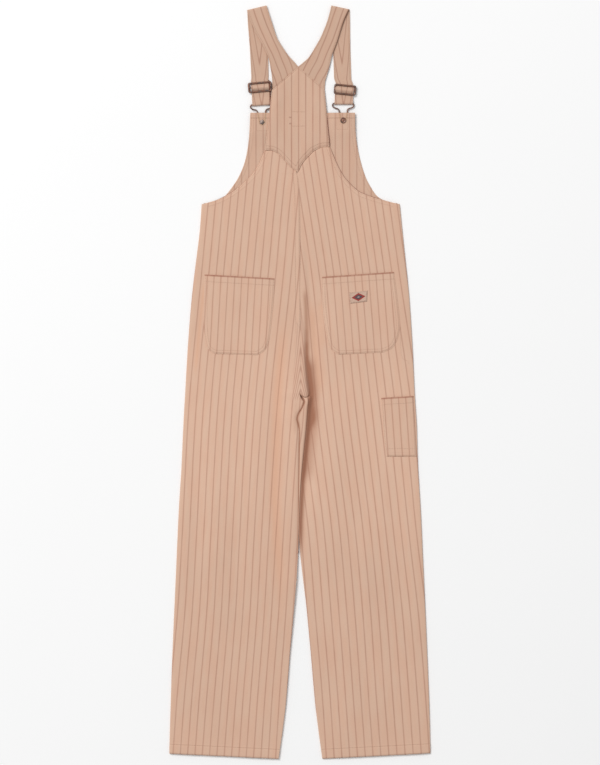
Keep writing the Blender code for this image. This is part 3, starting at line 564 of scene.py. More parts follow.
class Value:
    """A shader socket that takes part in expressions, each operator adding a Math node."""

    def __init__(self, nodes, socket):
        self.nodes = nodes
        self.socket = socket

    def math(self, operation, *others):
        made = self.nodes.add("ShaderNodeMath", {"operation": operation}, (self, *others))
        return Value(self.nodes, made.outputs[0])

    def __add__(self, other):
        return self.math("ADD", other)

    def __radd__(self, other):
        return self.math("ADD", other)

    def __sub__(self, other):
        return self.math("SUBTRACT", other)

    def __rsub__(self, other):
        return (self * -1.0).math("ADD", other)

    def __mul__(self, other):
        return self.math("MULTIPLY", other)

    def __rmul__(self, other):
        return self.math("MULTIPLY", other)

    def __truediv__(self, other):
        return self.math("DIVIDE", other)

    def floor(self):
        return self.math("FLOOR")

    def size(self):
        return self.math("ABSOLUTE")

    def wave(self):
        """A sine wave of this many turns, from -1 to 1."""
        return (self * math.tau).math("SINE")

    def between(self, low, high):
        """The same soft step as smooth_step makes."""
        settings = {"interpolation_type": "SMOOTHSTEP"}
        values = {"Value": self, "From Min": min(low, high), "From Max": max(low, high)}
        values["To Min"], values["To Max"] = (0.0, 1.0) if high > low else (1.0, 0.0)
        made = self.nodes.add("ShaderNodeMapRange", settings, values)
        return Value(self.nodes, made.outputs["Result"])


class Nodes:
    """A material's nodes, all added through one method."""

    def __init__(self, name, roughness, metallic=0.0, **constants):
        self.material = bpy.data.materials.new(name)
        self.material.use_nodes = True
        self.tree = self.material.node_tree
        self.shader = self.tree.nodes["Principled BSDF"]
        self.shader.inputs["Roughness"].default_value = roughness
        self.shader.inputs["Metallic"].default_value = metallic
        for socket, value in constants.items():
            self.shader.inputs[socket.replace("_", " ")].default_value = value

    def add(self, kind, settings=None, inputs=()):
        node = self.tree.nodes.new(kind)
        for setting, value in (settings or {}).items():
            if setting == "stops":
                self.set_stops(node.color_ramp, value)
            else:
                setattr(node, setting, value)
        pairs = inputs.items() if isinstance(inputs, dict) else enumerate(inputs)
        for key, value in pairs:
            socket = node.inputs[key]
            if isinstance(value, Value):
                self.tree.links.new(value.socket, socket)
            elif isinstance(value, bpy.types.NodeSocket):
                self.tree.links.new(value, socket)
            else:
                socket.default_value = value
        return node

    def set_stops(self, ramp, stops):
        while len(ramp.elements) < len(stops):
            ramp.elements.new(1.0)
        for element, (place, colour) in zip(ramp.elements, stops):
            element.position = place
            element.color = colour

    def grain(self):
        """Across and along the cloth, in stripes and in metres."""
        uv = self.add("ShaderNodeUVMap", {"uv_map": "UVMap"})
        parts = self.add("ShaderNodeSeparateXYZ", None, {0: uv.outputs[0]})
        return Value(self, parts.outputs[0]), Value(self, parts.outputs[1])

    def place(self):
        return self.add("ShaderNodeTexCoord").outputs["Object"]

    def vector(self, x, y, z=0.0):
        return self.add("ShaderNodeCombineXYZ", None, (x, y, z)).outputs[0]

    def clouds(self, vector, scale, detail=2.0, roughness=0.5):
        """Noise, from 0 to 1."""
        values = {"Vector": vector, "Scale": scale, "Detail": detail, "Roughness": roughness}
        made = self.add("ShaderNodeTexNoise", None, values)
        return Value(self, made.outputs[0])

    def mark(self, name):
        """A value kept at the points of the mesh: a distance in metres, a share or a count."""
        settings = {"attribute_type": "GEOMETRY", "attribute_name": name}
        return Value(self, self.add("ShaderNodeAttribute", settings).outputs["Fac"])

    def mix(self, factor, low, high):
        made = self.add("ShaderNodeMix", {"data_type": "RGBA"}, {0: factor, 6: low, 7: high})
        return made.outputs[2]

    def shade(self, colour, amount):
        """A colour made lighter or darker."""
        values = {0: colour, "Scale": amount}
        return self.add("ShaderNodeVectorMath", {"operation": "SCALE"}, values).outputs[0]

    def finish(self, colour, height=None, bump_distance=0.0002, strength=1.0):
        self.tree.links.new(colour, self.shader.inputs["Base Color"])
        if height is not None:
            values = {"Strength": strength, "Distance": bump_distance, "Height": height}
            bump = self.add("ShaderNodeBump", None, values)
            self.tree.links.new(bump.outputs[0], self.shader.inputs["Normal"])
        return self.material


def opaque(colour):
    return (*colour, 1.0)


TWILL_PITCH = 0.0011  # between the twill's diagonal ribs
STRIPE_PITCH = 0.0147
WARM = (1.0, 0.62, 0.45, 1.0)  # tint of the nap's sheen
DULL = {"Sheen_Tint": WARM, "Specular_IOR_Level": 0.12}


def pinstripes(count, width):
    """The number of the nearest stripe, and how much of its colour shows before its uneven dye."""
    number = (count + 0.5).floor()
    apart = (count - number).size() * STRIPE_PITCH
    line = apart.between(width * 0.85, width * 0.25)
    halo = apart.between(width * 1.7, width * 0.3)
    return number, line * 0.40 + halo * 0.17


def twill(name, look, strength=1.0, shade=1.0, seams=(), groove=1.0, shows=(), depths=None):
    """Striped cotton twill: pinstripes, diagonal ribs and uneven yarns, with sewn grooves darkened
    by painted shade.

    Seams are pairs of a mark on the mesh and the distance at which a groove runs. What else
    shows comes from marks too: a felled seat seam, arched stripes, painted shade in the depths
    of folds, pink bands of painted warm shade beside the folds, painted light on the thighs, a
    painted shadow in the mouth of a pocket, and painted shade over the wires under the cloth.
    """
    nodes = Nodes(name, roughness=0.94, Sheen_Roughness=0.5, Sheen_Weight=0.10, **DULL)
    stripes, run = nodes.grain()
    wobble = nodes.clouds(nodes.vector(stripes * 0.9, run * 14.0), 3.0) - 0.5
    number, lines = pinstripes(stripes + wobble * 0.035, look.stripe_width)
    if "arched" in shows:
        share = nodes.mark("arched")
        arched_lines = pinstripes(nodes.mark("arch"), look.stripe_width * ARCH_WIDTH)[1]
        lines = lines * (1.0 - share) + arched_lines * share
    dyed = nodes.clouds(nodes.vector(number * 7.31, run * 11.0), 2.0, 3.0, 0.6)
    amount = lines * (0.50 + dyed * 0.80) * strength
    yarns = nodes.clouds(nodes.vector(stripes * 24.0, run * 34.0), 1.0, 3.0, 0.6) - 0.5
    picks = nodes.clouds(nodes.vector(stripes * 2.4, run * 620.0), 1.0, 2.0, 0.5) - 0.5
    cloudy = nodes.clouds(nodes.place(), 9.0, 3.0, 0.55) - 0.5
    warm = nodes.clouds(nodes.vector(stripes * 0.55, run * 5.0), 2.4, 2.0, 0.5)
    rib = ((stripes * STRIPE_PITCH + run * 0.8) / TWILL_PITCH).wave()
    base = nodes.mix(warm.between(0.35, 0.68), opaque(look.cloth_colour), opaque(look.warm_colour))
    # Painted warm shade: pinker, darker bands along the creases beside the folds.
    if "flush" in shows:
        base = nodes.mix(nodes.mark("flush"), base, opaque(look.painted_warm_shade_colour))
    colour = nodes.mix(amount, base, opaque(look.stripe_colour))
    tone = shade + yarns * 0.12 + picks * 0.05 + cloudy * 0.07 + rib * 0.018
    height = rib * 0.10 + yarns * 0.55 + picks * 0.35
    if "flush" in shows:
        # Painted light: the thighs are made lighter, as if lit more.
        painted_thigh_light = run.between(-0.42, -0.16) * run.between(0.14, -0.04)
        tone = tone + painted_thigh_light * 0.055  # painted light on the thighs
    if "felled" in shows:
        inside = nodes.mark("seat_seam").between(0.0112, 0.0102)
        height = height + inside * 2.2
    for mark, distance in seams:
        sunk = (nodes.mark(mark) - distance).size().between(0.0012, 0.0002)
        # Each groove's bump, and painted shade darkening the cloth along it.
        tone = tone - sunk * 0.07 * groove
        height = height - sunk * 1.8 * groove
    colour = nodes.shade(colour, tone)
    # Painted shade: red-brown where folds and overlying layers shade the cloth.
    if "deep" in shows:
        colour = nodes.mix(nodes.mark("deep"), colour, opaque(depths or look.painted_shade_colour))
    # Painted shadow: a dark line in a pocket's open mouth, along its top.
    if "mouth" in shows:
        rim = nodes.mark("from_top").between(0.0040, 0.0016) * (0.35 + dyed * 0.7)
        colour = nodes.mix(rim, colour, opaque(look.painted_mouth_shadow_colour))
    # Painted shade along the ridges over the hooks' wires.
    if "wires" in shows:
        colour = nodes.mix(nodes.mark("wires") * 0.55, colour, opaque(look.painted_wire_shade_colour))
    return nodes.finish(colour, height)


def thread_finish(name, colour):
    """Spun sewing thread."""
    nodes = Nodes(name, roughness=0.7, Sheen_Weight=0.1)
    uneven = nodes.clouds(nodes.place(), 160.0, 2.0)
    twist = nodes.clouds(nodes.place(), 2600.0, 1.0)
    mixed = nodes.mix(uneven, opaque(colour), opaque(tuple(part * 0.80 for part in colour)))
    return nodes.finish(nodes.shade(mixed, 0.92 + twist * 0.16), twist, 0.00004)


def bronze_finish(name, dark, rubbed):
    """Antique bronze: nearly black, rubbed brown in uneven blotches."""
    nodes = Nodes(name, roughness=0.38, metallic=1.0)
    blotches = nodes.clouds(nodes.place(), 240.0, 4.0, 0.6)
    fine = nodes.clouds(nodes.place(), 1400.0, 2.0, 0.5)
    colour = nodes.mix(blotches.between(0.36, 0.56), opaque(dark), opaque(rubbed))
    roughness = 0.30 + blotches * 0.28
    nodes.tree.links.new(roughness.socket, nodes.shader.inputs["Roughness"])
    return nodes.finish(nodes.shade(colour, 0.88 + fine * 0.24), fine, 0.00005)


def looks():
    return bpy.context.scene.overalls_looks


# ---------------------------------------------------------------- cloth


def laid_ends(node, cell, rounding=0.006):
    """The two ends of each fine section of a sheet, on the sides of its solid."""
    ties = [Tie(np.array(tie.left) * MM, np.array(tie.right) * MM) for tie in TIES[node]]
    left, right = two_sides(outline_of(node), ties)
    return sections(left, right, ties, cell, rounding)[:, :, :2]


def laid_plan(node, cell, rounding=0.006):
    """The fine plan of a sheet, between the sides of its solid."""
    ends = laid_ends(node, cell, rounding)
    width = np.linalg.norm(ends[:, 1] - ends[:, 0], axis=1).mean()
    return across(ends, fractions(width, cell))


def upright(plan):
    """The same plan with its columns as rows, for a sheet whose sections run up the garment."""
    return plan.transpose(1, 0, 2)


def relief(node, plan, cell, spread):
    """The height of a solid's top at each point of a plan, its facets evened out."""
    height = Surface(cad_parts[node]).heights(plan)
    height = soften(height, spread / cell, axis=0)
    return soften(height, spread / cell, axis=1)


def edge_roll(points, depth=0.0004, width=0.0012):
    """How far a cut or turned edge rounds down, at each point of a grid."""
    reach = np.minimum.reduce(edge_reach(points))
    return depth * (1 - np.clip(reach / width, 0, 1)) ** 2


def sheet_points(plan, height):
    points = np.dstack([plan, height])
    points[..., 2] -= edge_roll(points)
    return points


def fold_at(heights):
    """The edge of the thigh fold and the height of its top, at given places up the garment."""
    read = curve_through(FOLD, heights)
    return read[..., 0], read[..., 1]


def groove_at(heights):
    """The two banks of the left inseam's groove."""
    read = curve_through(GROOVE, heights)
    return read[..., 0] - read[..., 1] / 2, read[..., 0] + read[..., 1] / 2


# How the back legs are laid, in metres.
LEG_WIDTH = 0.22
LEG_SPREAD = 0.009  # over which the facets of a leg's solid are evened out
LEG_RIPPLE = 0.00035
RIPPLE_SCALE = 0.034
SEAT_END = -0.020  # the left leg lies along the inseam's groove below this
SEAT_LAP = 0.0016  # how far the left leg laps over the seat seam
LAP_RISE = 0.0007
LAP_SPREAD = 0.012
FOLD_SPREAD = 0.026  # how far from its edge the left leg rises to the fold
FOLD_RISES = (0.30, 0.19)  # the cloth rises to the fold between these heights
FOLD_SINKS = (-0.40, -0.34)  # and sinks from it between these
BANK_DIP = 0.0016  # of the left leg at the inseam's groove
BANK_SPREAD = 0.0035
FOLD_COLUMNS = 31  # of the right leg, which lie over the fold
FOLD_CELL = 0.001
VALLEY_RISE = 0.0034  # of the right leg beside the fold
VALLEY_DIP = 0.0010
HEM_RISE = 0.0007
HEM_DEPTH = 0.020
OUTER_EDGE = 0.018  # share of the right leg's width with narrow cells
SEAT_TOP = 0.4185  # where the seat seam meets the yoke
YOKE_LINE = (0.4176, 0.4236)  # between these heights the legs go under the yoke
UNDER_YOKE = 0.0045  # how far the legs go on under the yoke's pointed edge
YOKE_DROP = 0.0009
YOKE_DROP_REACH = 0.013


def lifted_to_fold(plan, height, from_edge):
    """Raises a sheet towards its inner edge, so that it reaches the top of the fold there."""
    rows = np.arange(len(height))
    inner = np.argmin(from_edge, axis=1)
    beside = plan[rows, inner, 1]
    near = smooth_step(beside, *FOLD_RISES) * smooth_step(beside, *FOLD_SINKS)
    lift = (fold_at(beside)[1] - height[rows, inner]) * near
    made = height + lift[:, None] * np.exp(-((from_edge / FOLD_SPREAD) ** 2))
    at_groove = smooth_step(beside, CROTCH * MM, CROTCH * MM - 0.012)
    at_groove *= smooth_step(beside, -0.40, -0.30)
    return made - BANK_DIP * at_groove[:, None] * np.exp(-((from_edge / BANK_SPREAD) ** 2))


def under_yoke(heights):
    return smooth_step(heights, *YOKE_LINE)


def yoke_drop(y, from_inner):
    """How far a leg goes down to pass under the yoke."""
    near = 1 - smooth_step(from_inner, UNDER_YOKE, YOKE_DROP_REACH)
    return YOKE_DROP * under_yoke(y)[:, None] * near


def back_leg_left(material):
    """The left back piece, which laps over the seat seam and runs along the inseam's groove."""
    look = looks()
    node = "back_leg_left"
    ends = laid_ends(node, look.cell)
    y = ends[:, 1, 1]
    bank = groove_at(y)[0]
    beside = (y < SEAT_END) & (y > WRAP_END * MM)
    seat = (y >= SEAT_END) & (y < YOKE_LINE[0])
    ends[seat, 1, 0] += SEAT_LAP
    ends[beside, 1, 0] = bank[beside]
    ends[:, 1] = soften(ends[:, 1], 1.0)
    ends[:, 1] += under_yoke(y)[:, None] * np.array((UNDER_YOKE, UNDER_YOKE))
    plan = across(ends, fractions(LEG_WIDTH, look.cell))
    height = relief(node, plan, look.cell, LEG_SPREAD)
    from_inner = np.linalg.norm(plan - plan[:, -1:], axis=2)
    height = lifted_to_fold(plan, height, from_inner)
    height += crease_heights(plan, CREASES[node])
    height += LEG_RIPPLE * ripple(plan, RIPPLE_SCALE, 3.1)
    lap = smooth_step(plan[..., 1], *SEAM_SHOWS) * smooth_step(plan[..., 1], 0.42, 0.40)
    height += LAP_RISE * lap * np.exp(-((from_inner / LAP_SPREAD) ** 2))
    height -= yoke_drop(y, from_inner)
    points = sheet_points(plan, height)
    return leg_piece(node, plan, points, LEFT_GRAIN, LEFT_STRIPES, from_inner, material)


INSEAM_TOP = ((-2, -24), (0, -28), (3, -32), (8, -39), (4, -52))
FOLD_LINE = ((18, 14), (21.5, -12), (22, -28))
THIGH_EDGE = ((12, -136), (6, -196), (2, -276), (0, -370))

# Painted shade: red-brown colour in the depths of the folds, where shade falls, which fades
# at the ends of its paths.
Depth = namedtuple("Depth", "path half_width strength")
PAINTED_SHADES = {
    "back_leg_left": (
        Depth((*INSEAM_TOP, (-3, -63), (-6, -74), (-4, -84), (-2, -100)), 1.6, 0.85),
        Depth(((-3, -84), (-2, -100), (-2, -196), (-3, -330)), 1.4, 0.60),
        Depth(((-6, -30), (-8, -60), (-9, -110)), 5, 0.20),
    ),
    "back_leg_right": (
        Depth(((9, 190), (12, 150), (14, 112), (14, 80)), 4, 0.55),
        Depth(((14, 112), (14, 66), (14.5, 44), *FOLD_LINE, (19, -52), (17, -80)), 4.5, 0.95),
        Depth(((21, 60), (24, 14), (28, -12), (29, -32), (27, -60), (22, -104)), 9, 0.70),
        Depth(((-1, -20), (1, -27), (4, -31), (8, -38), (10, -46)), 3, 1.0),
        Depth(((22, -10), (21, -52), (16.5, -96), *THIGH_EDGE), 5.5, 0.95),
        Depth(((30, -40), (26, -96), (19, -156), (14, -210)), 11, 0.42),
    ),
}

# Painted warm shade: pinker, darker bands along the creases beside the folds.
PAINTED_WARM_SHADES = {
    "back_leg_left": (
        Depth(((-24, 172), *THIGH_LINE), 11, 0.95),
        Depth(((-190, 216), (-198, 130), (-205, 60), (-210, 0)), 4, 0.9),
    ),
    "back_leg_right": (
        Depth(((24, 170), (25, 110), (30, 60), (38, 10), (44, -40)), 9, 0.75),
        Depth(((43, 170), (43, 108), (46, 60)), 8, 0.5),
    ),
}


def painted_shade_marks(depths, plan):
    """How far the cloth takes a painted shade colour, at each point of a plan."""
    made = np.zeros(plan.shape[:2])
    for depth in depths:
        apart, beside = path_distance(plan, in_metres(depth.path))
        fade = smooth_step(np.minimum(beside, 1 - beside), 0.0, 0.22)
        made += depth.strength * fade * np.exp(-((apart / (depth.half_width * MM)) ** 2))
    return np.clip(made, 0, 1)


ARCH_PITCH = 0.0036  # between the lines that arch over the crotch
ARCH_MIDDLE = (0.0016, -0.034)
ARCH_TIP = 0.003  # roundness of their tips
ARCH_SLOPE = 0.28
ARCH_BEND = 0.12  # height over which their sides turn upright
ARCH_WIDTH = 2.8  # their width over a pinstripe's
SEAM_SHOWS = (0.095, 0.125)  # the sewn seat seam fades out between these heights


def arches(node, points):
    """A count of lines that arch over the crotch, and how far they stand for the stripes."""
    x, y = points[..., 0], points[..., 1]
    above = np.maximum(y - ARCH_MIDDLE[1], 0)
    apart = np.hypot(x - ARCH_MIDDLE[0], ARCH_TIP) + ARCH_SLOPE * above / (1 + above / ARCH_BEND)
    if node == "back_leg_left":
        outer = -0.0016 - 0.010 * (0.164 - y) / 0.170
        on_fold = smooth_step(x - outer, -0.0035, 0.0010)
    else:
        over = np.arange(points.shape[1]) < FOLD_COLUMNS
        on_fold = smooth_step(fold_at(y)[0] - x, 0.0, 0.003) * over
    share = on_fold * smooth_step(y, 0.135, 0.085) * smooth_step(y, -0.040, -0.030)
    return apart / ARCH_PITCH, share


def leg_piece(node, plan, points, grain, numbers, from_seam, material):
    """Finishes a back piece: hem, stripes, the marks of its seams and of its painted shade, and
    its wall.
    """
    stripes = stripe_number(points[..., :2], grain, numbers)
    arch, share = arches(node, points)
    from_hem = edge_reach(points)[2]
    points[..., 2] += HEM_RISE * np.clip((HEM_DEPTH - from_hem) / 0.0025, 0, 1)
    narrowed = from_seam + 0.014 * smooth_step(plan[..., 1], SEAM_SHOWS[1], SEAM_SHOWS[0])
    on_seat = (plan[..., 1] > CROTCH * MM) & (plan[..., 1] < SEAT_TOP)
    seam = np.where(on_seat, narrowed, 1.0)
    marks = {"seat_seam": seam, "from_hem": from_hem, "arch": arch, "arched": share}
    # Painted shade in the folds' depths, and painted warm shade in the bands beside them.
    marks["deep"] = painted_shade_marks(PAINTED_SHADES[node], points[..., :2])
    marks["flush"] = painted_shade_marks(PAINTED_WARM_SHADES[node], points[..., :2])
    data = grid_data(node + "_cloth", points, np.dstack([stripes, plan[..., 1]]), marks)
    obj = add_piece(node + "_cloth", data, material, "striped_twill", node)
    thicken(obj, looks().wall)
    return obj


def back_leg_right(material):
    """The right back piece, which folds over itself along the seat seam and lies low beside it."""
    look = looks()
    node = "back_leg_right"
    ends = laid_ends(node, look.cell)
    y = ends[:, 0, 1].copy()
    ends[:, 0] += under_yoke(y)[:, None] * np.array((-UNDER_YOKE, UNDER_YOKE))
    plan = across(ends, right_leg_parts(look.cell))
    height = relief(node, plan, look.cell, LEG_SPREAD)
    from_inner = np.linalg.norm(plan - plan[:, :1], axis=2)
    edge, top = fold_at(plan[..., 1])
    past = plan[..., 0] - edge
    beside = smooth_step(plan[..., 1], 0.26, 0.06) * smooth_step(plan[..., 1], -0.42, -0.20)
    valley = smooth_step(past, 0.002, 0.034) * smooth_step(past, 0.150, 0.050)
    height = height + beside * VALLEY_RISE * valley
    height -= beside * VALLEY_DIP * smooth_step(past, 0.022, 0.002)
    below = smooth_step(plan[..., 1], CROTCH * MM, CROTCH * MM - 0.004)
    below *= smooth_step(plan[..., 1], -0.42, -0.30)
    bank = np.exp(-((np.maximum(past, -0.003) / 0.0052) ** 2))
    height += below * 0.58 * np.maximum(top - height, 0) * bank
    height += crease_heights(plan, CREASES[node])
    height += LEG_RIPPLE * ripple(plan, RIPPLE_SCALE, 8.7)
    height -= yoke_drop(y, from_inner)
    points = folded_over(sheet_points(plan, height))
    no_seam = np.ones_like(past)
    return leg_piece(node, plan, points, RIGHT_GRAIN, RIGHT_STRIPES, no_seam, material)


def right_leg_parts(cell):
    """Fractions across the right leg: fine ones over the fold, then cells of the cloth."""
    fold_part = FOLD_CELL * (FOLD_COLUMNS - 1) / LEG_WIDTH
    over = np.linspace(0, fold_part, FOLD_COLUMNS)[:-1]
    rest = np.linspace(fold_part, 1 - OUTER_EDGE, round(LEG_WIDTH * (1 - fold_part) / cell))
    edge = 1 - OUTER_EDGE * np.array((0.65, 0.35, 0.12, 0.0))
    return np.concatenate([over, rest, edge])


# The fold seen along the seam: how far across it, or past its edge, and how far down.
FOLD_ROUND = ((0.72, 0.10), (0.88, 0.24), (0.97, 0.40))
FOLD_FOOT = ((0.0004, 0.58), (0.0014, 0.78), (0.0034, 0.93), (0.0070, 0.99))


def fold_profile(width, top, drop, pressed, end):
    """The fold's form across the seam, from the seam to its last column."""
    return np.array((
        (0.0, top - pressed),
        (width * 0.25, top - 0.0002),
        (width * 0.50, top),
        *((width * part, top - share * drop) for part, share in FOLD_ROUND),
        *((width + past, top - share * drop) for past, share in FOLD_FOOT),
        end,
    ))


def folded_over(points):
    """Lays the columns beside the seat seam over the fold's top, round its edge and back out."""
    made = points.copy()
    stations = np.linspace(0, 1, FOLD_COLUMNS)
    crotch = CROTCH * MM
    for row in made:
        y = row[0, 1]
        if y < crotch:
            continue
        edge, top = fold_at(np.array(y))
        share = smooth_step(y, FOLD_FULL[0] * MM, FOLD_FULL[1] * MM)
        lift = smooth_step(y, *FOLD_RISES)
        seam = row[0, 0] - 0.0012 * lift
        width = max(edge - seam, 0.003)
        floor = np.interp(seam + width + 0.003, row[:, 0], row[:, 2])
        pressed = 0.0010 - 0.0006 * smooth_step(y, SEAM_SHOWS[1], SEAM_SHOWS[0])
        inner = row[:FOLD_COLUMNS]
        end = (inner[-1, 0] - seam, inner[-1, 2])
        folded = soften(along(fold_profile(width, top, top - floor, pressed, end), stations), 1.2)
        rise = (top - row[0, 2]) * lift
        unfolded = inner[:, 2] + rise * np.exp(-((inner[:, 0] - seam) / 0.016) ** 2)
        inner[:, 0] = (1 - share) * inner[:, 0] + share * (seam + folded[:, 0])
        inner[:, 2] = (1 - share) * unfolded + share * folded[:, 1]
        deep = (top + floor) / 2
        part = np.clip((inner[:, 0] - seam) / width, 0, 1)
        upper = np.clip((inner[:, 2] - deep) / (top - deep), 0, 1)
        inner[:, 1] -= 0.012 * smooth_step(y, crotch + 0.036, crotch) * part * upper
        inner[:, 2] -= 0.0013 * smooth_step(y, crotch + 0.009, crotch) * upper
    return made


FRONT_CELL = 0.008  # of the hidden right front


def front_leg_right(material):
    """The right front piece, flat on the ground with its outside down."""
    node = "front_leg_right"
    plan = laid_plan(node, FRONT_CELL)
    height = relief(node, plan, FRONT_CELL, 0.004)
    own = np.dstack([stripe_number(plan, RIGHT_GRAIN, RIGHT_STRIPES), plan[..., 1]])
    data = grid_data(node + "_cloth", np.dstack([plan, height]), own)
    obj = add_piece(node + "_cloth", data, material, "twill_inside", node)
    thicken(obj, looks().wall)
    return obj


FRONT_TOP = 0.3545  # where the left front ends below the waist
FRONT_COLUMNS = 44  # on the ground
NOSE_COLUMNS = 10  # round the inner thigh
STRIP_COLUMNS = 8  # back over itself
NOSE_REACH = (0.0012, 0.0046)
TUCK = (0.0030, 0.0016)  # how far down and in the strip's top lies below the seat fold
NOSE_PAINTED_SHADE = (0.6, 0.9, 1.0, 1.0, 1.0, 0.85, 0.55, 0.28, 0.10, 0.0)  # shade round the nose
STRIP_PAINTED_SHADE = (0.30, 0.85, 0.85, 0.85)  # shade along the groove


def turned_back(start, height, reach, left):
    """Points from the ground's last column round the inner thigh and back to the inseam."""
    rise = max(height - start[2], 0.002)
    made = [
        start + np.array((reach * math.sin(angle), 0, rise * (1 - math.cos(angle)) / 2))
        for angle in np.linspace(0, math.pi, NOSE_COLUMNS + 1)[1:]
    ]
    width = max(start[0] - left, 0.0004)
    made += [
        np.array((start[0] - width * part, start[1], start[2] + rise - 0.0009 * part**4))
        for part in np.linspace(0, 1, STRIP_COLUMNS - 1)[1:]
    ]
    made.append(made[-1] + np.array((-0.0008, 0, -0.0016)))
    made.append(made[-1] + np.array((-0.0050, 0, -0.0010)))
    return made


def front_leg_left(material):
    """The left front: on the ground, round the inner thigh, and back over itself to the inseam."""
    look = looks()
    node = "front_leg_left"
    ends = laid_ends("back_leg_left", look.cell)
    ends = ends[ends[:, 0, 1] < FRONT_TOP]
    y = ends[:, 1, 1]
    edge, top = fold_at(y)
    bank = groove_at(y)[1]
    tucked = smooth_step(y, -0.040, -0.028)
    top = top - TUCK[0] * tucked
    edge = edge - TUCK[1] * tucked
    wrapped = (y < STRIP_TOP * MM) & (y > WRAP_END * MM)
    nose = np.clip(0.45 * (edge - bank), *NOSE_REACH)
    ends[wrapped, 1, 0] = (edge - nose)[wrapped]
    flat = across(ends, np.linspace(0, 1, FRONT_COLUMNS))
    bottom = Surface(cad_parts[node]).heights(flat, from_below=True)
    bottom = soften(soften(bottom, 3.0, axis=0), 1.0, axis=1)
    base = np.dstack([flat, np.maximum(bottom, 0.0)])
    ways = zip(base[:, -1], top, nose, bank)
    points = np.concatenate([base, np.array([turned_back(*way) for way in ways])], axis=1)
    lost = np.zeros((points.shape[0] - 1, points.shape[1] - 1), bool)
    lost[~(wrapped[:-1] & wrapped[1:]), FRONT_COLUMNS - 1 :] = True
    stripes = stripe_number(flat, LEFT_GRAIN, LEFT_STRIPES)
    run = edge_reach(points)[0]
    onward = (run[:, FRONT_COLUMNS:] - run[:, FRONT_COLUMNS - 1 : FRONT_COLUMNS]) / STRIPE_PITCH
    stripes = np.concatenate([stripes, stripes[:, -1:] + onward], axis=1)
    # Painted shade round the nose and along the groove.
    deep = np.zeros(points.shape[:2])
    deep[:, FRONT_COLUMNS : FRONT_COLUMNS + NOSE_COLUMNS] = NOSE_PAINTED_SHADE
    deep[:, -len(STRIP_PAINTED_SHADE) :] = STRIP_PAINTED_SHADE
    own = np.dstack([stripes, points[..., 1]])
    data = grid_data(node + "_cloth", points, own, {"deep": deep}, lost)
    obj = add_piece(node + "_cloth", data, material, "twill_inside", node)
    thicken(obj, look.wall * 0.9, side=1.0)
    return obj


BIB_CELL = 0.0015
BIB_TOP = (0.5385, 0.5365)  # the hooks' wires go under the bib here
WIRE_RISE = 0.0009  # of the cloth over a wire
WIRE_SPREAD = 0.0016
SOFT_SPREAD = 0.004  # over which the facets of a small sheet's solid are evened out
SMALL_SCALE = 0.03  # of the ripple of small pieces
SMALL_RIPPLE = 0.0003


def bib(material):
    """The bib of the front, inside up, with the hooks' wires raising it a little, and painted
    shade over them.
    """
    node = "front_bib"
    plan = laid_plan(node, BIB_CELL)
    height = relief(node, plan, BIB_CELL, SOFT_SPREAD)
    wires = np.zeros(height.shape)
    for fastening in FASTENINGS.values():
        apart = path_distance(plan, hook_path(fastening)[::4, :2])[0]
        wires += np.exp(-((apart / WIRE_SPREAD) ** 2)) * smooth_step(plan[..., 1], *BIB_TOP)
    height += WIRE_RISE * wires
    height += SMALL_RIPPLE * ripple(plan, SMALL_SCALE, 5.5)
    points = sheet_points(plan, height)
    stripes = straight_stripes(plan, -1.2, 14.4, 0.0)
    # The wires mark is painted shade along the ridges over the hooks' wires.
    marks = {"from_top": edge_reach(points)[3], "wires": np.clip(wires, 0, 1)}
    data = grid_data("front_bib_cloth", points, np.dstack([stripes, plan[..., 1]]), marks)
    obj = add_piece("front_bib_cloth", data, material, "twill_inside", node)
    thicken(obj, looks().wall)
    return obj


YOKE_CELL = 0.0020
YOKE_PRESS = (0.0008, 0.0055)  # how far down its edge is pressed, and over what width
YOKE_LOW_PRESS = (0.0009, 0.0110)  # as much again at its pointed lower edge


def pressed_down(apart, press):
    """How far a sheet is pressed down at a distance from a stitched edge."""
    depth, width = press
    return depth * (1 - smooth_step(apart, 0.0, width))


def yoke(material):
    """The back yoke, whose stitched edges are pressed down on the pieces below."""
    node = "back_yoke"
    plan = upright(laid_plan(node, YOKE_CELL, 0.002))
    height = relief(node, plan, YOKE_CELL, SOFT_SPREAD)
    from_edge = rim_distance(plan, "bottom", "right", "top", "left")
    from_low = rim_distance(plan, "bottom")
    height -= pressed_down(from_edge, YOKE_PRESS) + pressed_down(from_low, YOKE_LOW_PRESS)
    height += SMALL_RIPPLE * ripple(plan, SMALL_SCALE, 2.2)
    stripes = straight_stripes(plan, -2.4, 14.2, 0.0)
    marks = {"from_edge": from_edge, "from_low": from_low}
    own = np.dstack([stripes, plan[..., 1]])
    data = grid_data("back_yoke_cloth", np.dstack([plan, height]), own, marks)
    obj = add_piece("back_yoke_cloth", data, material, "striped_twill", node)
    thicken(obj, looks().wall)
    return obj


# Where a pocket's first stripe runs, their spacing in millimetres and their lean in degrees.
Patch = namedtuple("Patch", "node leg first_stripe spacing lean flat area")
POCKETS = (
    Patch("pocket_left", "back_leg_left", -183.0, 13.85, 3.2, (0.142, 0.160), 0.0212),
    Patch("pocket_right", "back_leg_right", 69.0, 14.25, -4.5, (0.155, 0.164), 0.0233),
    Patch("tool_pocket", "back_leg_right", 166.0, 14.4, -4.0, (0.066, 0.121), 0.0077),
)
POCKET_CELL = 0.0020
POCKET_RIPPLE = 0.0004
RIPPLE_SEED = 8.0
POCKET_PRESS = (0.0010, 0.0045)
MOUTH_RISE = 0.0009
MOUTH_REACH = 0.022


def rim(points, *sides):
    """The plan of chosen sides of a grid, anticlockwise: bottom, right, top, left."""
    runs = {
        "bottom": points[0, :, :2],
        "right": points[:, -1, :2],
        "top": points[-1, ::-1, :2],
        "left": points[::-1, 0, :2],
    }
    return np.concatenate([runs[side] for side in sides])


def rim_distance(plan, *sides):
    """How far each point of a plan is from chosen sides of it."""
    return path_distance(plan, dense(rim(plan, *sides))[::4])[0]


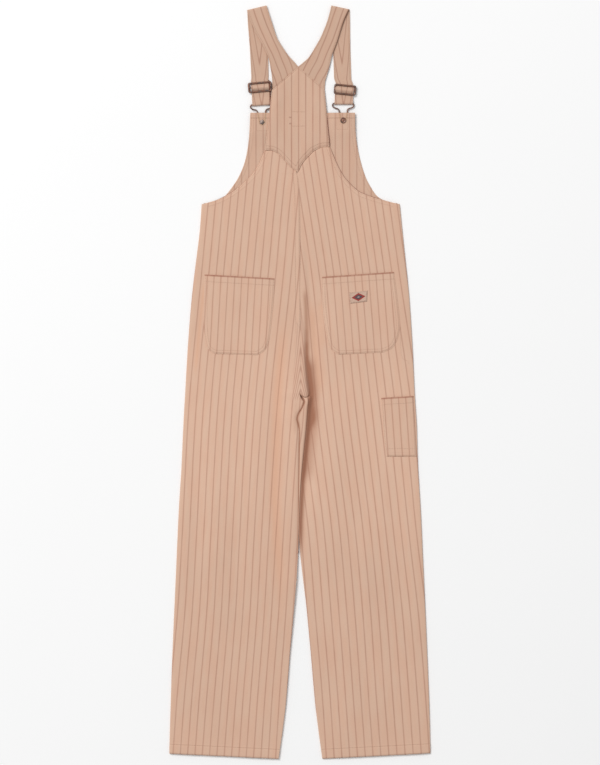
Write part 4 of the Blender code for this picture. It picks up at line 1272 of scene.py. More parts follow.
def pocket(patch, carrier, material):
    """A patch pocket, pressed on the fine panel below it, with its mouth a little open."""
    wall = looks().wall
    plan = laid_plan(patch.node, POCKET_CELL, 0.003)
    below = carrier.heights(plan, inset=0.0)
    below = soften(soften(below, 2.0, axis=0), 2.0, axis=1)
    from_edge = rim_distance(plan, "left", "bottom", "right")
    from_top = rim_distance(plan, "top")
    height = below + GAP + wall
    height += POCKET_RIPPLE * ripple(plan, SMALL_SCALE, RIPPLE_SEED)
    height -= pressed_down(from_edge, POCKET_PRESS)
    mouth = 1 - smooth_step(from_top, 0.0, MOUTH_REACH)
    height += MOUTH_RISE * mouth * smooth_step(from_edge, 0.0, 0.02)
    stripes = straight_stripes(plan, patch.first_stripe, patch.spacing, patch.lean)
    marks = {"from_edge": from_edge, "from_top": from_top}
    own = np.dstack([stripes, plan[..., 1]])
    data = grid_data(patch.node + "_cloth", np.dstack([plan, height]), own, marks)
    obj = add_piece(patch.node + "_cloth", data, material, "striped_twill", patch.node)
    thicken(obj, wall)
    return obj


# ---------------------------------------------------------------- straps


# The ends of the seam where each strap leaves the yoke, left end first.
STRAP_SEAMS = {
    "left": ((-55.8, 583.6), (-3.5, 630.6)),
    "right": ((-2.7, 630.6), (49.6, 585.2)),
}


def strap_sides(side):
    """A strap's two long edges on one side, from the yoke seam to its end under the slider."""
    loop = outline_of("strap_" + side)
    closed = dense(np.concatenate([loop, loop[:1]]))[:-1]
    return split_at_ends(closed, in_metres(STRAP_SEAMS[side]))


def split_at_ends(closed, starts):
    """A strap's outline without its end at the yoke and its flat end on the ground."""
    begin, other = (nearest(closed, start) for start in starts)
    turned = np.roll(closed, -begin, axis=0)
    other = nearest(turned, starts[1])
    if other < len(turned) / 2:
        turned = np.roll(turned[::-1], 1, axis=0)
        other = nearest(turned, starts[1])
    body = turned[: other + 1]
    steps = np.diff(body, axis=0)
    aside = np.abs(steps[:, 0]) > 0.8 * np.linalg.norm(steps, axis=1)
    flat = body[:, 2] < 0.0004
    end_run = [index for index in range(len(steps)) if aside[index] and flat[index]]
    first, last = end_run[0], end_run[-1] + 1
    return body[: first + 1], body[last:][::-1]


def turning_points(side):
    """Where a strap's edge turns over its folds: at the shoulder and at the foot of the loop."""
    top = int(np.argmax(side[:, 1]))
    foot = top + int(np.argmin(side[top:, 1]))
    return [0, top, foot, len(side) - 1]


STRAP_WIDTH = 0.0346
STRAP_CELL = (0.0012, 0.0022)  # along and across
STRAP_START = ((0.0050, 0.0019), (0.0014, 0.0013))  # how far it goes under the yoke and down
STRAP_LOWEST = 0.0001  # it never goes lower there
# Colour of the painted shadow on the straps.
STRAP_PAINTED_SHADOW = (0.205, 0.088, 0.058)
CHEVRON_LEAN = 8.0  # of the stripes on the front run, in degrees
CHEVRON_PITCH = 0.86  # their spacing over the cloth's
# How far each strap spreads at its slider on the right side, and between which heights. The
# left one's edge lies in the shade of the yoke there.
STRAP_SPREAD = {"left": (0.0032, 0.554, 0.602), "right": (0.0020, 0.552, 0.590)}


def strap_ends(left, right):
    """The two ends of each section of a strap, from under the yoke to its end."""
    ends = []
    for index in range(3):
        spans = []
        for edge in (left, right):
            stops = turning_points(edge)
            spans.append(edge[stops[index] : stops[index + 1] + 1])
        length = DENSE * (len(spans[0]) + len(spans[1])) / 2
        parts = np.linspace(0, 1, max(3, round(length / STRAP_CELL[0])) + 1)
        rows = np.stack([along(span, parts) for span in spans], axis=1)
        ends.append(rows if index == 0 else rows[1:])
    ends = soften(np.concatenate(ends), 1.2)
    way = (ends[0] - ends[1]) / np.linalg.norm(ends[0] - ends[1], axis=1)[:, None]
    under = [ends[0] + way * reach - np.array((0, 0, down)) for reach, down in STRAP_START]
    ends = np.concatenate([np.maximum(under, (-1.0, -1.0, STRAP_LOWEST)), ends])
    for edge, solid in ((ends[:, 0], left), (ends[:, 1], right)):
        top = edge[:, 1].max()
        edge[:, 1] += (solid[:, 1].max() - top) * smooth_step(edge[:, 1], top - 0.012, top)
    return ends


def strap(side, material):
    """A doubled strap, folded at the shoulder and threaded through its slider."""
    node = "strap_" + side
    ends = strap_ends(*strap_sides(side))
    back_run = turning_points(ends[:, 0])[1]
    spread, low, high = STRAP_SPREAD[side]
    beside = smooth_step(ends[:, 1, 1], low - 0.003, low)
    beside *= smooth_step(ends[:, 1, 1], high + 0.003, high)
    ends[:, 1, 0] += spread * beside * (np.arange(len(ends)) > back_run)
    points = across(ends, fractions(STRAP_WIDTH, STRAP_CELL[1], 0.003))
    from_left, from_right, run, _ = edge_reach(points)
    aside = (from_left - from_right) / 2
    lean = math.tan(math.radians(CHEVRON_LEAN))
    chevron = (np.abs(aside) + run * lean) / (CHEVRON_PITCH * STRIPE_PITCH)
    straight = aside / STRIPE_PITCH + 0.5
    is_front = (np.arange(len(points)) > back_run)[:, None]
    stripes = np.where(is_front, chevron, straight)
    y = points[..., 1]
    # Painted shadow: on the left strap's edge where the yoke shades it by its slider, and on the
    # right strap's back run along the edge where it lies over the front run.
    if side == "left":
        deep = is_front * (1 - smooth_step(from_right, 0.0020, 0.0029)) * beside[:, None]
    else:
        deep = ~is_front * (1 - smooth_step(from_right, 0.0004, 0.0022))
        deep = deep * smooth_step(y, 0.640, 0.655) * (0.50 + 0.50 * smooth_step(y, 0.67, 0.73))
    marks = {"from_edge": np.minimum(from_left, from_right), "deep": deep}
    data = grid_data(node + "_cloth", points, np.dstack([stripes, run]), marks)
    obj = add_piece(node + "_cloth", data, material, "strap_twill", node)
    thicken(obj, STRAP_WALL, side=1.0)
    return obj


# ---------------------------------------------------------------- fastenings

WIRE = 0.0014
SLIDER_PLANE = 0.0048
HOOK_BAR_PLANE = 0.0031
HOOK_EYE_PLANE = 0.0039
EYE_RADIUS = 0.0050
RIVET_RADIUS = {"left": 0.0055, "right": 0.0060}

# Places in metres: the slider's middle and turn, the hook's bar, and the button.
Fastening = namedtuple("Fastening", "slider half_width turn bar button")
FASTENINGS = {
    "left": Fastening((-0.0797, 0.5890), 0.0221, 5.0, (-0.0777, 0.5550), (-0.0754, 0.5186)),
    "right": Fastening((0.0904, 0.5836), 0.0203, -5.5, (0.0866, 0.5570), (0.0868, 0.5222)),
}
SLIDER_WIRE = 0.0019  # half the width of a slider's flattened wire
SLIDER_FLAT = 0.8  # its height over its width
SLIDER_HALF = 0.0086  # half the height of a slider
SLEEVE_LIMIT = 0.0019

# The crimped ends of a slider's middle bar: places up its side and their radii.
SLEEVE = (
    (-2.9, 1.35),
    (-2.7, 1.75),
    (-2.1, 2.05),
    (0.0, 2.12),
    (2.1, 2.05),
    (2.7, 1.75),
    (2.9, 1.35),
)

# Tacks, from the rim to the middle: share of the radius, and the height in millimetres.
DOMED = ((1.0, 0.0), (1.0, 0.3), (0.92, 0.8), (0.75, 1.2), (0.45, 1.5), (0.15, 1.6), (0.0, 1.6))
RINGED = (
    (1.0, 0.0),
    (1.0, 0.6),
    (0.9, 1.2),
    (0.76, 1.4),
    (0.6, 0.9),
    (0.5, 0.7),
    (0.3, 1.0),
    (0.12, 1.2),
    (0.0, 1.2),
)

# Half of a hook's wire, from its bar to its eye: aside, down and the share of the rise.
HOOK_SHAPE = (
    (17.6, 0.0, 0.0),
    (20.0, 0.8, 0.0),
    (21.6, 3.8, 0.0),
    (20.2, 7.6, 0.1),
    (15.8, 9.8, 0.2),
    (10.8, 11.0, 0.3),
    (8.3, 13.8, 0.5),
    (8.0, 18.0, 0.8),
    (6.4, 26.0, 1.0),
)


def rounded_loop(path, spread, step):
    """A closed path with its corners rounded, in even steps."""
    closed = dense(np.concatenate([path, path[:1]]))[:-1]
    count = len(closed)
    softer = soften(np.concatenate([closed] * 3), spread / DENSE)[count : 2 * count]
    return softer[:: max(1, round(step / DENSE))]


def hook_path(fastening):
    """The closed path of a hook: its bar, its shoulders, and the eye round the button's shank."""
    bar = np.array(fastening.bar)
    down = np.array(fastening.button) - bar
    reach = np.linalg.norm(down)
    down /= reach
    aside = np.array((-down[1], down[0]))
    half = [(out * MM, drop * MM, rise) for out, drop, rise in HOOK_SHAPE]
    for angle in np.radians(np.arange(10, 91, 20)):
        half.append((EYE_RADIUS * math.cos(angle), reach + EYE_RADIUS * math.sin(angle), 1.0))
    whole = half + [(-out, drop, rise) for out, drop, rise in reversed(half[:-1])]
    flat = np.array([bar + aside * out + down * drop for out, drop, _ in whole])
    rises = np.array([rise for _, _, rise in whole])
    height = HOOK_BAR_PLANE + (HOOK_EYE_PLANE - HOOK_BAR_PLANE) * rises
    return rounded_loop(np.column_stack([flat, height]), 0.0011, 0.0005)


def open_tube(mesh, around, along_steps):
    """A grid of new points, to be bent round into a tube."""
    made = bmesh.ops.create_grid(mesh, x_segments=around, y_segments=along_steps, size=1.0)
    return made["verts"]


def swept(mesh, path, radius, closed=False, around=12, flat=1.0):
    """Adds a wire along a path. It has one radius, or one a point; flat is height over width."""
    path = np.asarray(path, float)
    radius = np.broadcast_to(radius, (len(path),)).astype(float)
    if closed:
        way = np.roll(path, -1, axis=0) - np.roll(path, 1, axis=0)
        path, radius, way = (np.concatenate([part, part[:1]]) for part in (path, radius, way))
    else:
        way = np.gradient(path, axis=0)
    way /= np.linalg.norm(way, axis=1)[:, None]
    aside = np.cross(way, (0.0, 0.0, 1.0))
    aside /= np.linalg.norm(aside, axis=1)[:, None]
    up = np.cross(aside, way)
    verts = open_tube(mesh, around, len(path) - 1)
    for index, vert in enumerate(verts):
        station, corner = divmod(index, around + 1)
        angle = math.tau * corner / around
        out = aside[station] * math.cos(angle) + up[station] * flat * math.sin(angle)
        vert.co = Vector(path[station] + out * radius[station])
    bmesh.ops.remove_doubles(mesh, verts=verts, dist=SEAM)


def turned(mesh, profile, centre, around=24, lobes=0, lobe_depth=0.0):
    """Adds a turned piece from (radius, height) points. Its rim may have shallow lobes."""
    verts = open_tube(mesh, around, len(profile) - 1)
    for index, vert in enumerate(verts):
        station, corner = divmod(index, around + 1)
        angle = math.tau * corner / around
        radius, height = profile[station]
        radius *= 1 - lobe_depth * (1 - math.cos(lobes * angle)) / 2
        out = Vector((radius * math.cos(angle), radius * math.sin(angle), height))
        vert.co = Vector(centre) + out
    bmesh.ops.remove_doubles(mesh, verts=verts, dist=SEAM)


def finished(name, mesh, material, slot, *nodes):
    """The object of a mesh whose normals are turned outward."""
    bmesh.ops.recalc_face_normals(mesh, faces=mesh.faces)
    data = bpy.data.meshes.new(name)
    mesh.to_mesh(data)
    mesh.free()
    data.shade_smooth()
    return add_piece(name, data, material, slot, *nodes)


def slider(side, material):
    """A wire frame with round corners, and a middle bar crimped round its sides."""
    fastening = FASTENINGS[side]
    turn = math.radians(fastening.turn)
    out = np.array((math.cos(turn), math.sin(turn), 0))
    up = np.array((-math.sin(turn), math.cos(turn), 0))
    middle = np.array((*fastening.slider, SLIDER_PLANE))
    half_width = fastening.half_width
    corners = ((1, -1), (1, 1), (-1, 1), (-1, -1))
    square = np.array([middle + out * half_width * x + up * SLIDER_HALF * y for x, y in corners])
    mesh = bmesh.new()
    loop = rounded_loop(square, 0.0016, 0.0005)
    swept(mesh, loop, SLIDER_WIRE, closed=True, flat=SLIDER_FLAT)
    bar = [middle + out * place for place in np.linspace(-half_width, half_width, 12)]
    swept(mesh, bar, WIRE * 0.86)
    for x in (-half_width, half_width):
        path = [middle + out * x + up * place * MM for place, _ in SLEEVE]
        swept(mesh, path, [min(radius * MM, SLEEVE_LIMIT) for _, radius in SLEEVE])
    return finished("slider_%s_wire" % side, mesh, material, "dark_bronze", "slider_" + side)


def hook(side, material):
    mesh = bmesh.new()
    swept(mesh, hook_path(FASTENINGS[side]), WIRE * 0.92, closed=True)
    return finished("hook_%s_wire" % side, mesh, material, "dark_bronze", "hook_" + side)


def rivet(side, material):
    """A button's tack: a lobed one on the left, a ringed one on the right."""
    low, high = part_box("rivet_" + side)
    centre = ((low[0] + high[0]) / 2, (low[1] + high[1]) / 2, low[2])
    profile, lobes, lobe_depth = (DOMED, 5, 0.24) if side == "left" else (RINGED, 0, 0.0)
    mesh = bmesh.new()
    scaled = [(part * RIVET_RADIUS[side], height * MM) for part, height in profile]
    turned(mesh, scaled, centre, 40, lobes, lobe_depth)
    return finished("rivet_%s_head" % side, mesh, material, "dark_bronze", "rivet_" + side)


# ---------------------------------------------------------------- label patch

PATCH_CORNERS = ((100.4, 156.0), (134.4, 160.4), (98.4, 178.4), (135.6, 182.4))
PATCH_CELLS = (24, 15)
PATCH_SIZE = (0.036, 0.0224)
PATCH_PRESS = (0.0006, 0.0020)
BORDER_INSET = 0.0020
LOZENGE = (0.0142, 0.0082)  # half its width and half its height
PATCH_GROUND = ((0.710, 0.488, 0.375, 1), (0.650, 0.446, 0.345, 1))
BORDER_COLOUR = (0.26, 0.19, 0.165, 1)
RED = (0.37, 0.060, 0.050, 1)
SLATE = (0.120, 0.092, 0.100, 1)
PALE = (0.400, 0.320, 0.300, 1)


def label_patch(material):
    """A small woven patch sewn on the right pocket at a slight tilt."""
    low_left, low_right, high_left, high_right = in_metres(PATCH_CORNERS)
    u = np.linspace(0, 1, PATCH_CELLS[0] + 1)[None, :, None]
    v = np.linspace(0, 1, PATCH_CELLS[1] + 1)[:, None, None]
    low = low_left * (1 - u) + low_right * u
    high = high_left * (1 - u) + high_right * u
    plan = low * (1 - v) + high * v
    below = Surface(bpy.data.objects["pocket_right_cloth"]).heights(plan, inset=0.0)
    from_edge = rim_distance(plan, "bottom", "right", "top", "left")
    height = below + GAP + PATCH_WALL - pressed_down(from_edge, PATCH_PRESS)
    share = np.concatenate(np.broadcast_arrays(u, v), axis=2)
    own = (share - 0.5) * np.array(PATCH_SIZE)
    points = np.dstack([plan, height])
    data = grid_data("label_patch_cloth", points, own, {"from_edge": from_edge})
    obj = add_piece("label_patch_cloth", data, material, "woven_patch", "label_patch")
    thicken(obj, PATCH_WALL)
    return obj


def woven_patch():
    """A plain woven patch: fine weave, a dashed border, and a lozenge woven in red and slate."""
    nodes = Nodes("woven_patch", roughness=0.9, Sheen_Weight=0.08, **DULL)
    u, v = nodes.grain()
    weave = (u / 0.0009).wave() * (v / 0.0007).wave()
    uneven = nodes.clouds(nodes.place(), 700.0, 3.0) - 0.5
    colour = nodes.mix(0.5 + uneven * 1.2, *PATCH_GROUND)
    dash = ((u + v) / 0.0030).wave().between(-0.2, 0.3)
    border = (nodes.mark("from_edge") - BORDER_INSET).size().between(0.0007, 0.0003) * dash
    colour = nodes.mix(border * 0.6, colour, BORDER_COLOUR)
    ragged = u.size() / LOZENGE[0] + v.size() / LOZENGE[1] + uneven * 0.10
    for outer, inner, thread in ((1.04, 0.96, RED), (0.66, 0.58, SLATE), (0.26, 0.18, PALE)):
        colour = nodes.mix(ragged.between(outer, inner), colour, thread)
    return nodes.finish(nodes.shade(colour, 1.0 + weave * 0.08), weave + uneven * 0.6, 0.00012)


# ---------------------------------------------------------------- sewing

STITCH_PITCH = 0.0033
STITCH_LENGTH = 0.0027
THREAD = 0.00062
OVER_CLOTH = 0.00008
HEM_ROW = 0.019
ARMHOLE = 0.357  # above this height a leg's outer side is its armhole
EDGE_ROWS = (0.0022, 0.0075)  # inside an armhole or a side of the bib
SEAT_ROWS = (0.0018, 0.0095)
STRAP_ROW = 0.0025
YOKE_PITCH = 0.0022  # of the stitches that hold what is behind the yoke


def line_at(points, reach, distance):
    """The points of a grid's rows at a distance along each row."""
    made = []
    for row, stops in zip(points, reach):
        order = np.argsort(stops)
        made.append([np.interp(distance, stops[order], row[order, axis]) for axis in range(3)])
    return np.array(made)


def moved_in(path, distance):
    """A path moved to its left, without the loops that this makes at sharp corners."""
    fine = soften(dense(path[:, :2]), 2.0)
    way = np.gradient(fine, axis=0)
    way /= np.maximum(np.linalg.norm(way, axis=1), 1e-9)[:, None]
    moved = fine + np.column_stack([-way[:, 1], way[:, 0]]) * distance
    apart = np.array([np.linalg.norm(fine[::3] - place, axis=1).min() for place in moved])
    return moved[apart > distance * 0.96]


def rows_inside(piece, path, *insets):
    """Rows of stitches felt on a piece, at distances inside a path along its rim."""
    return [felt_path(piece, moved_in(path, inset)) for inset in insets]


def felt_path(piece, path, pitch=STITCH_PITCH):
    """Places and normals at even steps of a plan's path, felt on a piece from above."""
    surface = Surface(piece)
    length = np.linalg.norm(np.diff(path[:, :2], axis=0), axis=1).sum()
    made = []
    for x, y in along(path[:, :2], np.linspace(0, 1, max(2, round(length / pitch) + 1))):
        hit = surface.feel(x, y)
        if hit is not None:
            made.append((hit[0] + hit[1] * OVER_CLOTH, hit[1]))
    return made


def stitched(mesh, places):
    """Adds a bead of thread between each place and the next."""
    for (start, out), (end, _) in zip(places, places[1:]):
        way = end - start
        if not 0.3 * STITCH_PITCH < way.length < 2 * STITCH_PITCH:
            continue
        x_axis = way.normalized()
        z_axis = (out - x_axis * out.dot(x_axis)).normalized()
        turn = Matrix((x_axis, z_axis.cross(x_axis), z_axis)).transposed().to_4x4()
        size = Matrix.Diagonal((STITCH_LENGTH / 2, THREAD / 2, THREAD * 0.4, 1))
        place = Matrix.Translation((start + end) / 2) @ turn @ size
        bmesh.ops.create_icosphere(mesh, subdivisions=1, radius=1.0, matrix=place)


def sewn_rows(name, rows, material, slot):
    """One object of the stitches of many rows."""
    whole = bmesh.new()
    for places in rows:
        part = bmesh.new()
        stitched(part, places)
        data = bpy.data.meshes.new("row")
        part.to_mesh(data)
        part.free()
        whole.from_mesh(data)
        bpy.data.meshes.remove(data)
    return finished(name, whole, material, slot)


def piece_grid(name):
    """A finished grid piece, and its points before its wall: (rows, columns, 3)."""
    piece = bpy.data.objects[name]
    flat = np.empty(len(piece.data.vertices) * 3, np.float32)
    piece.data.vertices.foreach_get("co", flat)
    return piece, flat.reshape(-1, piece["columns"], 3).astype(float)


# Rows of stitching that the edges of the pieces don't give, in millimetres.
BIB_BOXES = (
    ((-86.4, 536.6), (-86.4, 501.6), (-65.6, 501.6)),
    ((72.4, 536.6), (72.4, 504.6), (96.0, 504.6), (96.0, 536.6)),
)
SIDE_STITCH = ((198.4, 135.6), (202.4, 55.6), (206.0, 45.6), (215.0, 42.2), (218.4, 35.6))
YOKE_LINES = (((-16.2, 511.0), (10.4, 511.0)), ((-16.2, 539.6), (10.4, 539.6)))
YOKE_TACKS = tuple(((-21.4, y), (-17.0, y)) for y in (529.2, 527.6, 516.8, 515.2))

# Rows inside a pocket's sewn sides, below its mouth and above its foot, in metres.
Rows = namedtuple("Rows", "sides mouth foot")
POCKET_ROWS = {
    "pocket_left": Rows((0.0020, 0.0070), (0.0140,), ()),
    "pocket_right": Rows((0.0020, 0.0070), (0.0140,), ()),
    "tool_pocket": Rows((0.0020,), (0.0130,), (0.0160,)),
}

# Overlocked edges: the piece, its outer column, from what height to what height, how far below
# its top, and over how many points an end thins out.
OVERLOCK_RADIUS = 0.00055
Overlocked = namedtuple("Overlocked", "piece column low high sunk thinning")
OVERLOCKED = (
    Overlocked("back_leg_right_cloth", -1, 0.361, 0.470, 0.0005, 4),
    Overlocked("back_leg_left_cloth", 0, 0.361, 0.392, 0.0005, 4),
    Overlocked("back_yoke_cloth", -1, 0.468, 0.528, 0.0003, 5),
)


def leg_rows():
    """The hems, both armholes, the felled seat seam, and the side stitching of the right leg."""
    rows = []
    for side in ("left", "right"):
        piece, grid = piece_grid("back_leg_%s_cloth" % side)
        _, from_right, from_hem, _ = edge_reach(grid)
        rows.append(felt_path(piece, line_at(grid.transpose(1, 0, 2), from_hem.T, HEM_ROW)[2:-2]))
        outer = rim(grid, side)
        rows += rows_inside(piece, outer[outer[:, 1] > ARMHOLE], *EDGE_ROWS)
        if side == "left":
            seat = (grid[:, -1, 1] > SEAM_SHOWS[0]) & (grid[:, -1, 1] < SEAT_TOP)
            lines = [line_at(grid, from_right, inset)[seat] for inset in SEAT_ROWS]
            rows += [felt_path(piece, line) for line in lines]
        else:
            rows.append(felt_path(piece, in_metres(SIDE_STITCH)))
    return rows


def pocket_rows():
    rows = []
    for name, insets in POCKET_ROWS.items():
        piece, grid = piece_grid(name + "_cloth")
        rows += rows_inside(piece, rim(grid, "left", "bottom", "right"), *insets.sides)
        rows += rows_inside(piece, rim(grid, "top"), *insets.mouth)
        rows += rows_inside(piece, rim(grid, "bottom"), *insets.foot)
    return rows


def bib_rows():
    """The bib's top hem, its sides and the boxes at its hooks, and the yoke's edges and lines."""
    piece, grid = piece_grid("front_bib_cloth")
    rows = rows_inside(piece, rim(grid, "top"), 0.0110)
    for side in ("right", "left"):
        rows += rows_inside(piece, rim(grid, side), *EDGE_ROWS)
    rows += [felt_path(piece, in_metres(box)) for box in BIB_BOXES]
    piece, grid = piece_grid("back_yoke_cloth")
    rows += rows_inside(piece, rim(grid, "bottom", "right", "top", "left"), 0.0020)
    rows += rows_inside(piece, rim(grid, "bottom"), 0.0080)
    rows += [felt_path(piece, in_metres(line), YOKE_PITCH) for line in YOKE_LINES]
    return rows


def tack_rows():
    piece = bpy.data.objects["back_yoke_cloth"]
    return [felt_path(piece, in_metres(line), YOKE_PITCH) for line in YOKE_TACKS]


def strap_rows():
    """Rows inside both edges of the straps, on both faces and round their folds."""
    rows = []
    for side in ("left", "right"):
        grid = piece_grid("strap_%s_cloth" % side)[1]
        out = np.cross(np.gradient(grid, axis=1), np.gradient(grid, axis=0))
        out /= np.maximum(np.linalg.norm(out, axis=2), 1e-12)[..., None]
        for stops in edge_reach(grid)[:2]:
            line = line_at(grid, stops, STRAP_ROW)
            ways = line_at(out, stops, STRAP_ROW)
            parts = np.linspace(0, 1, round(reaches(line)[-1] / STITCH_PITCH) + 1)
            both = along(np.column_stack([line, ways * 1e-6]), parts)
            places = [(Vector(row[:3]), Vector(row[3:]).normalized()) for row in both]
            for face, lift in ((1.0, STRAP_WALL + OVER_CLOTH), (-1.0, OVER_CLOTH)):
                rows.append([(place + way * face * lift, way * face) for place, way in places])
    return rows


def patch_rows():
    piece, grid = piece_grid("label_patch_cloth")
    return rows_inside(piece, rim(grid, "bottom", "right", "top", "left"), 0.0012)


def edge_cords(material):
    """The overlocked edges of the armholes, in darker thread."""
    mesh = bmesh.new()
    for edge in OVERLOCKED:
        path = piece_grid(edge.piece)[1][:, edge.column]
        path = path[(path[:, 1] > edge.low) & (path[:, 1] < edge.high)]
        from_end = np.minimum(np.arange(len(path)), np.arange(len(path))[::-1])
        radius = OVERLOCK_RADIUS * np.clip(from_end / edge.thinning, 0, 1) + 1e-6
        swept(mesh, path - np.array((0, 0, edge.sunk)), radius, around=6)
    return finished("armhole_overlock", mesh, material, "striped_twill")


# ---------------------------------------------------------------- stage


FLOOR_HALF = 4.0
FLOOR_HEIGHT = -0.0002
FLOOR_COLOURS = ((0.975, 0.975, 0.975, 1), (0.985, 0.985, 0.985, 1))
WINDOW_PLACE = (-4.2, 4.4, 8.0)
WINDOW_AIM = (0.05, 0.0, 0.0)
WINDOW_SIZE = 5.0
CAMERA_PLACE = (0.0004, -0.0014, 6.0)
VIEW_WIDTH = 1.2  # of the floor in the frame
SENSOR = 36.0


def pale_floor():
    mesh = bmesh.new()
    height = Matrix.Translation((0, 0, FLOOR_HEIGHT))
    bmesh.ops.create_grid(mesh, x_segments=1, y_segments=1, size=FLOOR_HALF, matrix=height)
    data = bpy.data.meshes.new("floor")
    mesh.to_mesh(data)
    mesh.free()
    floor = bpy.data.objects.new("floor", data)
    bpy.context.scene.collection.objects.link(floor)
    nodes = Nodes("pale_floor", roughness=0.9, Specular_IOR_Level=0.1)
    paper = nodes.clouds(nodes.place(), 3.0)
    data.materials.append(nodes.finish(nodes.mix(paper, *FLOOR_COLOURS)))


def even_sky():
    world = bpy.data.worlds.new("studio")
    world.use_nodes = True
    background = world.node_tree.nodes["Background"]
    background.inputs["Color"].default_value = (1.0, 1.0, 1.0, 1.0)
    background.inputs["Strength"].default_value = looks().sky_strength
    bpy.context.scene.world = world


def window_light():
    data = bpy.data.lights.new("window", "AREA")
    data.shape = "DISK"
    data.size = WINDOW_SIZE
    data.energy = looks().light_power
    window = bpy.data.objects.new("window", data)
    window.location = WINDOW_PLACE
    way = Vector(WINDOW_AIM) - Vector(WINDOW_PLACE)
    window.rotation_euler = way.to_track_quat("-Z", "Y").to_euler()
    bpy.context.scene.collection.objects.link(window)


def stage():
    """A pale floor, an even sky, one large soft light from the upper left, and the camera."""
    pale_floor()
    even_sky()
    window_light()
    scene = bpy.context.scene
    lens = bpy.data.cameras.new("camera")
    lens.sensor_width = SENSOR
    lens.sensor_fit = "HORIZONTAL"
    lens.lens = SENSOR * CAMERA_PLACE[2] / VIEW_WIDTH
    camera = bpy.data.objects.new("camera", lens)
    camera.location = CAMERA_PLACE
    scene.collection.objects.link(camera)
    scene.camera = camera
    scene.view_settings.view_transform = "Standard"


# ---------------------------------------------------------------- add-on


def size_property(name, description, default):
    return bpy.props.FloatProperty(
        name=name, description=description, default=default, min=0, unit="LENGTH"
    )


def colour_property(name, description, default):
    return bpy.props.FloatVectorProperty(
        name=name, description=description, default=default, min=0, max=1, subtype="COLOR"
    )


class OverallsLooks(bpy.types.PropertyGroup):
    """Sizes and colours that a user would change."""

    wall: size_property("Cloth thickness", "Thickness of one layer of cloth", 0.0012)
    cell: size_property("Cell", "Side of a cell of the legs' cloth", 0.0030)
    stripe_width: size_property("Stripe width", "Width of a pinstripe", 0.0017)
    cloth_colour: colour_property("Cloth", "Ground of the twill", (0.690, 0.462, 0.342))
    warm_colour: colour_property("Warm cloth", "Pinker patches of twill", (0.690, 0.442, 0.322))
    stripe_colour: colour_property("Stripe", "Pinstripes", (0.400, 0.190, 0.135))
    thread_colour: colour_property("Thread", "Sewing thread", (0.600, 0.380, 0.270))
    dark_thread_colour: colour_property("Dark thread", "Overlock and tacks", (0.270, 0.085, 0.060))
    # Painted shade in the depths of folds and where one layer shades another.
    painted_shade_colour: colour_property("Depths", "Cloth in the depths of a fold", (0.385, 0.178, 0.112))
    # Painted warm shade in the bands along the creases beside the folds.
    painted_warm_shade_colour: colour_property("Flush", "Pink bands beside the folds", (0.700, 0.416, 0.286))
    # Painted shade along the ridges over the hooks' wires.
    painted_wire_shade_colour: colour_property("Wires below", "Cloth over the hooks", (0.400, 0.235, 0.125))
    # Painted shadow in the mouth of a pocket.
    painted_mouth_shadow_colour: colour_property("Pocket mouth", "Edge of a pocket's top", (0.340, 0.135, 0.090))
    metal_colour: colour_property("Metal", "Dark bronze", (0.135, 0.105, 0.095))
    rubbed_colour: colour_property("Rubbed metal", "Bronze where rubbed", (0.250, 0.130, 0.094))
    tack_colour: colour_property("Tack", "Worn grey of the left tack", (0.330, 0.255, 0.225))
    sky_strength: bpy.props.FloatProperty(
        name="Sky",
        description="Strength of the even light",
        default=0.50,
        min=0,
        soft_max=2,
        subtype="FACTOR",
    )
    light_power: bpy.props.FloatProperty(
        name="Light", description="Power of the soft light", default=620.0, min=0, unit="POWER"
    )


class OVERALLS_OT_stage(bpy.types.Operator):
    """Add the floor, the lights and the camera"""

    bl_idname = "overalls.stage"
    bl_label = "Stage"

    def execute(self, context):
        stage()
        return {"FINISHED"}


class OVERALLS_OT_legs(bpy.types.Operator):
    """Add the four leg pieces"""

    bl_idname = "overalls.legs"
    bl_label = "Legs"

    def execute(self, context):
        sewn = (("seat_seam", 0.0016), ("seat_seam", 0.0095), ("from_hem", HEM_ROW))
        shows = ("felled", "deep", "flush", "arched")
        outside = twill("striped_twill", looks(), seams=sewn, groove=0.7, shows=shows)
        front_leg_right(twill("twill_inside", looks(), 0.75, 0.98))
        front_leg_left(twill("turned_front", looks(), 0.9, shows=("deep",)))
        back_leg_left(outside)
        back_leg_right(outside)
        return {"FINISHED"}


class OVERALLS_OT_bib(bpy.types.Operator):
    """Add the bib and the back yoke"""

    bl_idname = "overalls.bib"
    bl_label = "Bib and yoke"

    def execute(self, context):
        hem = (("from_top", 0.011),)
        bib(twill("bib_inside", looks(), 0.9, 0.94, hem, shows=("wires",)))
        edges = (("from_edge", 0.002), ("from_low", 0.008))
        yoke(twill("yoke_twill", looks(), 1.1, 0.95, edges, 0.6))
        return {"FINISHED"}


class OVERALLS_OT_pockets(bpy.types.Operator):
    """Add the patch pockets and the tool pocket"""

    bl_idname = "overalls.pockets"
    bl_label = "Pockets"

    def execute(self, context):
        names = ("back_leg_left_cloth", "back_leg_right_cloth")
        carrier = Surface(*(bpy.data.objects[name] for name in names))
        sewn = (("from_edge", 0.002), ("from_edge", 0.007), ("from_top", 0.014))
        material = twill("pocket_twill", looks(), 1.0, 1.015, sewn, 0.35, ("mouth",))
        for patch in POCKETS:
            pocket(patch, carrier, material)
        return {"FINISHED"}


class OVERALLS_OT_straps(bpy.types.Operator):
    """Add the shoulder straps"""

    bl_idname = "overalls.straps"
    bl_label = "Straps"

    def execute(self, context):
        sewn = (("from_edge", STRAP_ROW),)
        material = twill("strap_twill", looks(), 1.1, 0.885, sewn, 0.6, ("deep",), STRAP_PAINTED_SHADOW)
        for side in ("left", "right"):
            strap(side, material)
        return {"FINISHED"}


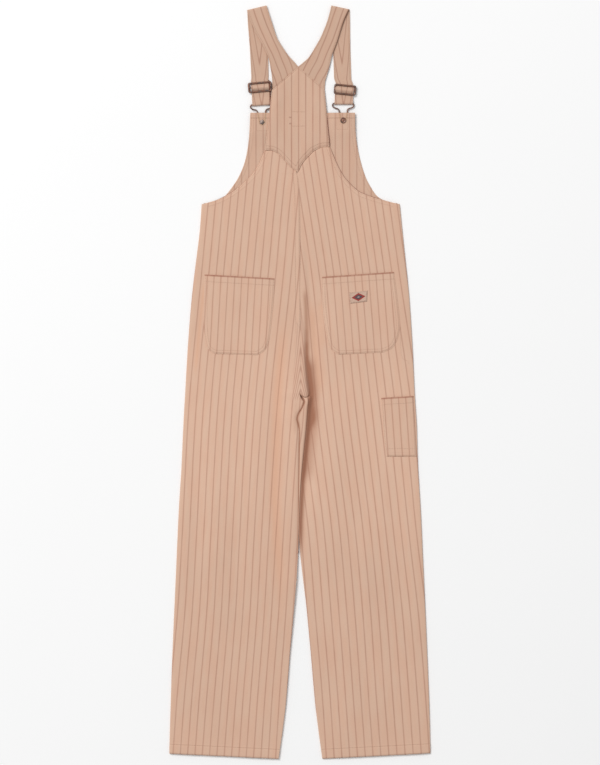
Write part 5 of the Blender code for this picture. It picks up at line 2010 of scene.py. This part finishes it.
class OVERALLS_OT_fastenings(bpy.types.Operator):
    """Add the sliders, hooks and tacks, and finish the buttons"""

    bl_idname = "overalls.fastenings"
    bl_label = "Fastenings"

    def execute(self, context):
        look = looks()
        bronze = bronze_finish("dark_bronze", look.metal_colour, look.rubbed_colour)
        tack = bronze_finish("tack_bronze", look.metal_colour, look.tack_colour)
        for side in FASTENINGS:
            slider(side, bronze)
            hook(side, bronze)
            rivet(side, tack if side == "left" else bronze)
            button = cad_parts["button_" + side]
            button.material_slots[0].link = "OBJECT"
            button.material_slots[0].material = bronze
        return {"FINISHED"}


class OVERALLS_OT_patch(bpy.types.Operator):
    """Add the woven patch"""

    bl_idname = "overalls.patch"
    bl_label = "Patch"

    def execute(self, context):
        label_patch(woven_patch())
        return {"FINISHED"}


class OVERALLS_OT_sewing(bpy.types.Operator):
    """Add the stitches"""

    bl_idname = "overalls.sewing"
    bl_label = "Sewing"

    def execute(self, context):
        thread = thread_finish("sewing_thread", looks().thread_colour)
        sewn_rows("leg_stitches", leg_rows(), thread, "striped_twill")
        sewn_rows("pocket_stitches", pocket_rows(), thread, "striped_twill")
        sewn_rows("bib_stitches", bib_rows(), thread, "twill_inside")
        sewn_rows("strap_stitches", strap_rows(), thread, "strap_twill")
        sewn_rows("patch_stitches", patch_rows(), thread, "woven_patch")
        dark_thread = thread_finish("dark_thread", looks().dark_thread_colour)
        sewn_rows("yoke_tacks", tack_rows(), dark_thread, "striped_twill")
        edge_cords(dark_thread)
        return {"FINISHED"}


OPERATORS = (
    OVERALLS_OT_stage,
    OVERALLS_OT_legs,
    OVERALLS_OT_bib,
    OVERALLS_OT_pockets,
    OVERALLS_OT_patch,
    OVERALLS_OT_straps,
    OVERALLS_OT_fastenings,
    OVERALLS_OT_sewing,
)


class OVERALLS_PT_pieces(bpy.types.Panel):
    """The pieces of the garment and its looks"""

    bl_label = "Overalls"
    bl_idname = "OVERALLS_PT_pieces"
    bl_space_type = "VIEW_3D"
    bl_region_type = "UI"
    bl_category = "Overalls"

    def draw(self, context):
        for name in OverallsLooks.__annotations__:
            self.layout.prop(context.scene.overalls_looks, name)
        for operator in OPERATORS:
            self.layout.operator(operator.bl_idname)


def register():
    for part in (OverallsLooks, *OPERATORS, OVERALLS_PT_pieces):
        bpy.utils.register_class(part)
    bpy.types.Scene.overalls_looks = bpy.props.PointerProperty(type=OverallsLooks)


def unregister():
    del bpy.types.Scene.overalls_looks
    for part in reversed((OverallsLooks, *OPERATORS, OVERALLS_PT_pieces)):
        bpy.utils.unregister_class(part)


def main():
    register()
    for operator in OPERATORS:
        group, name = operator.bl_idname.split(".")
        getattr(getattr(bpy.ops, group), name)()


if __name__ == "__main__":
    main()
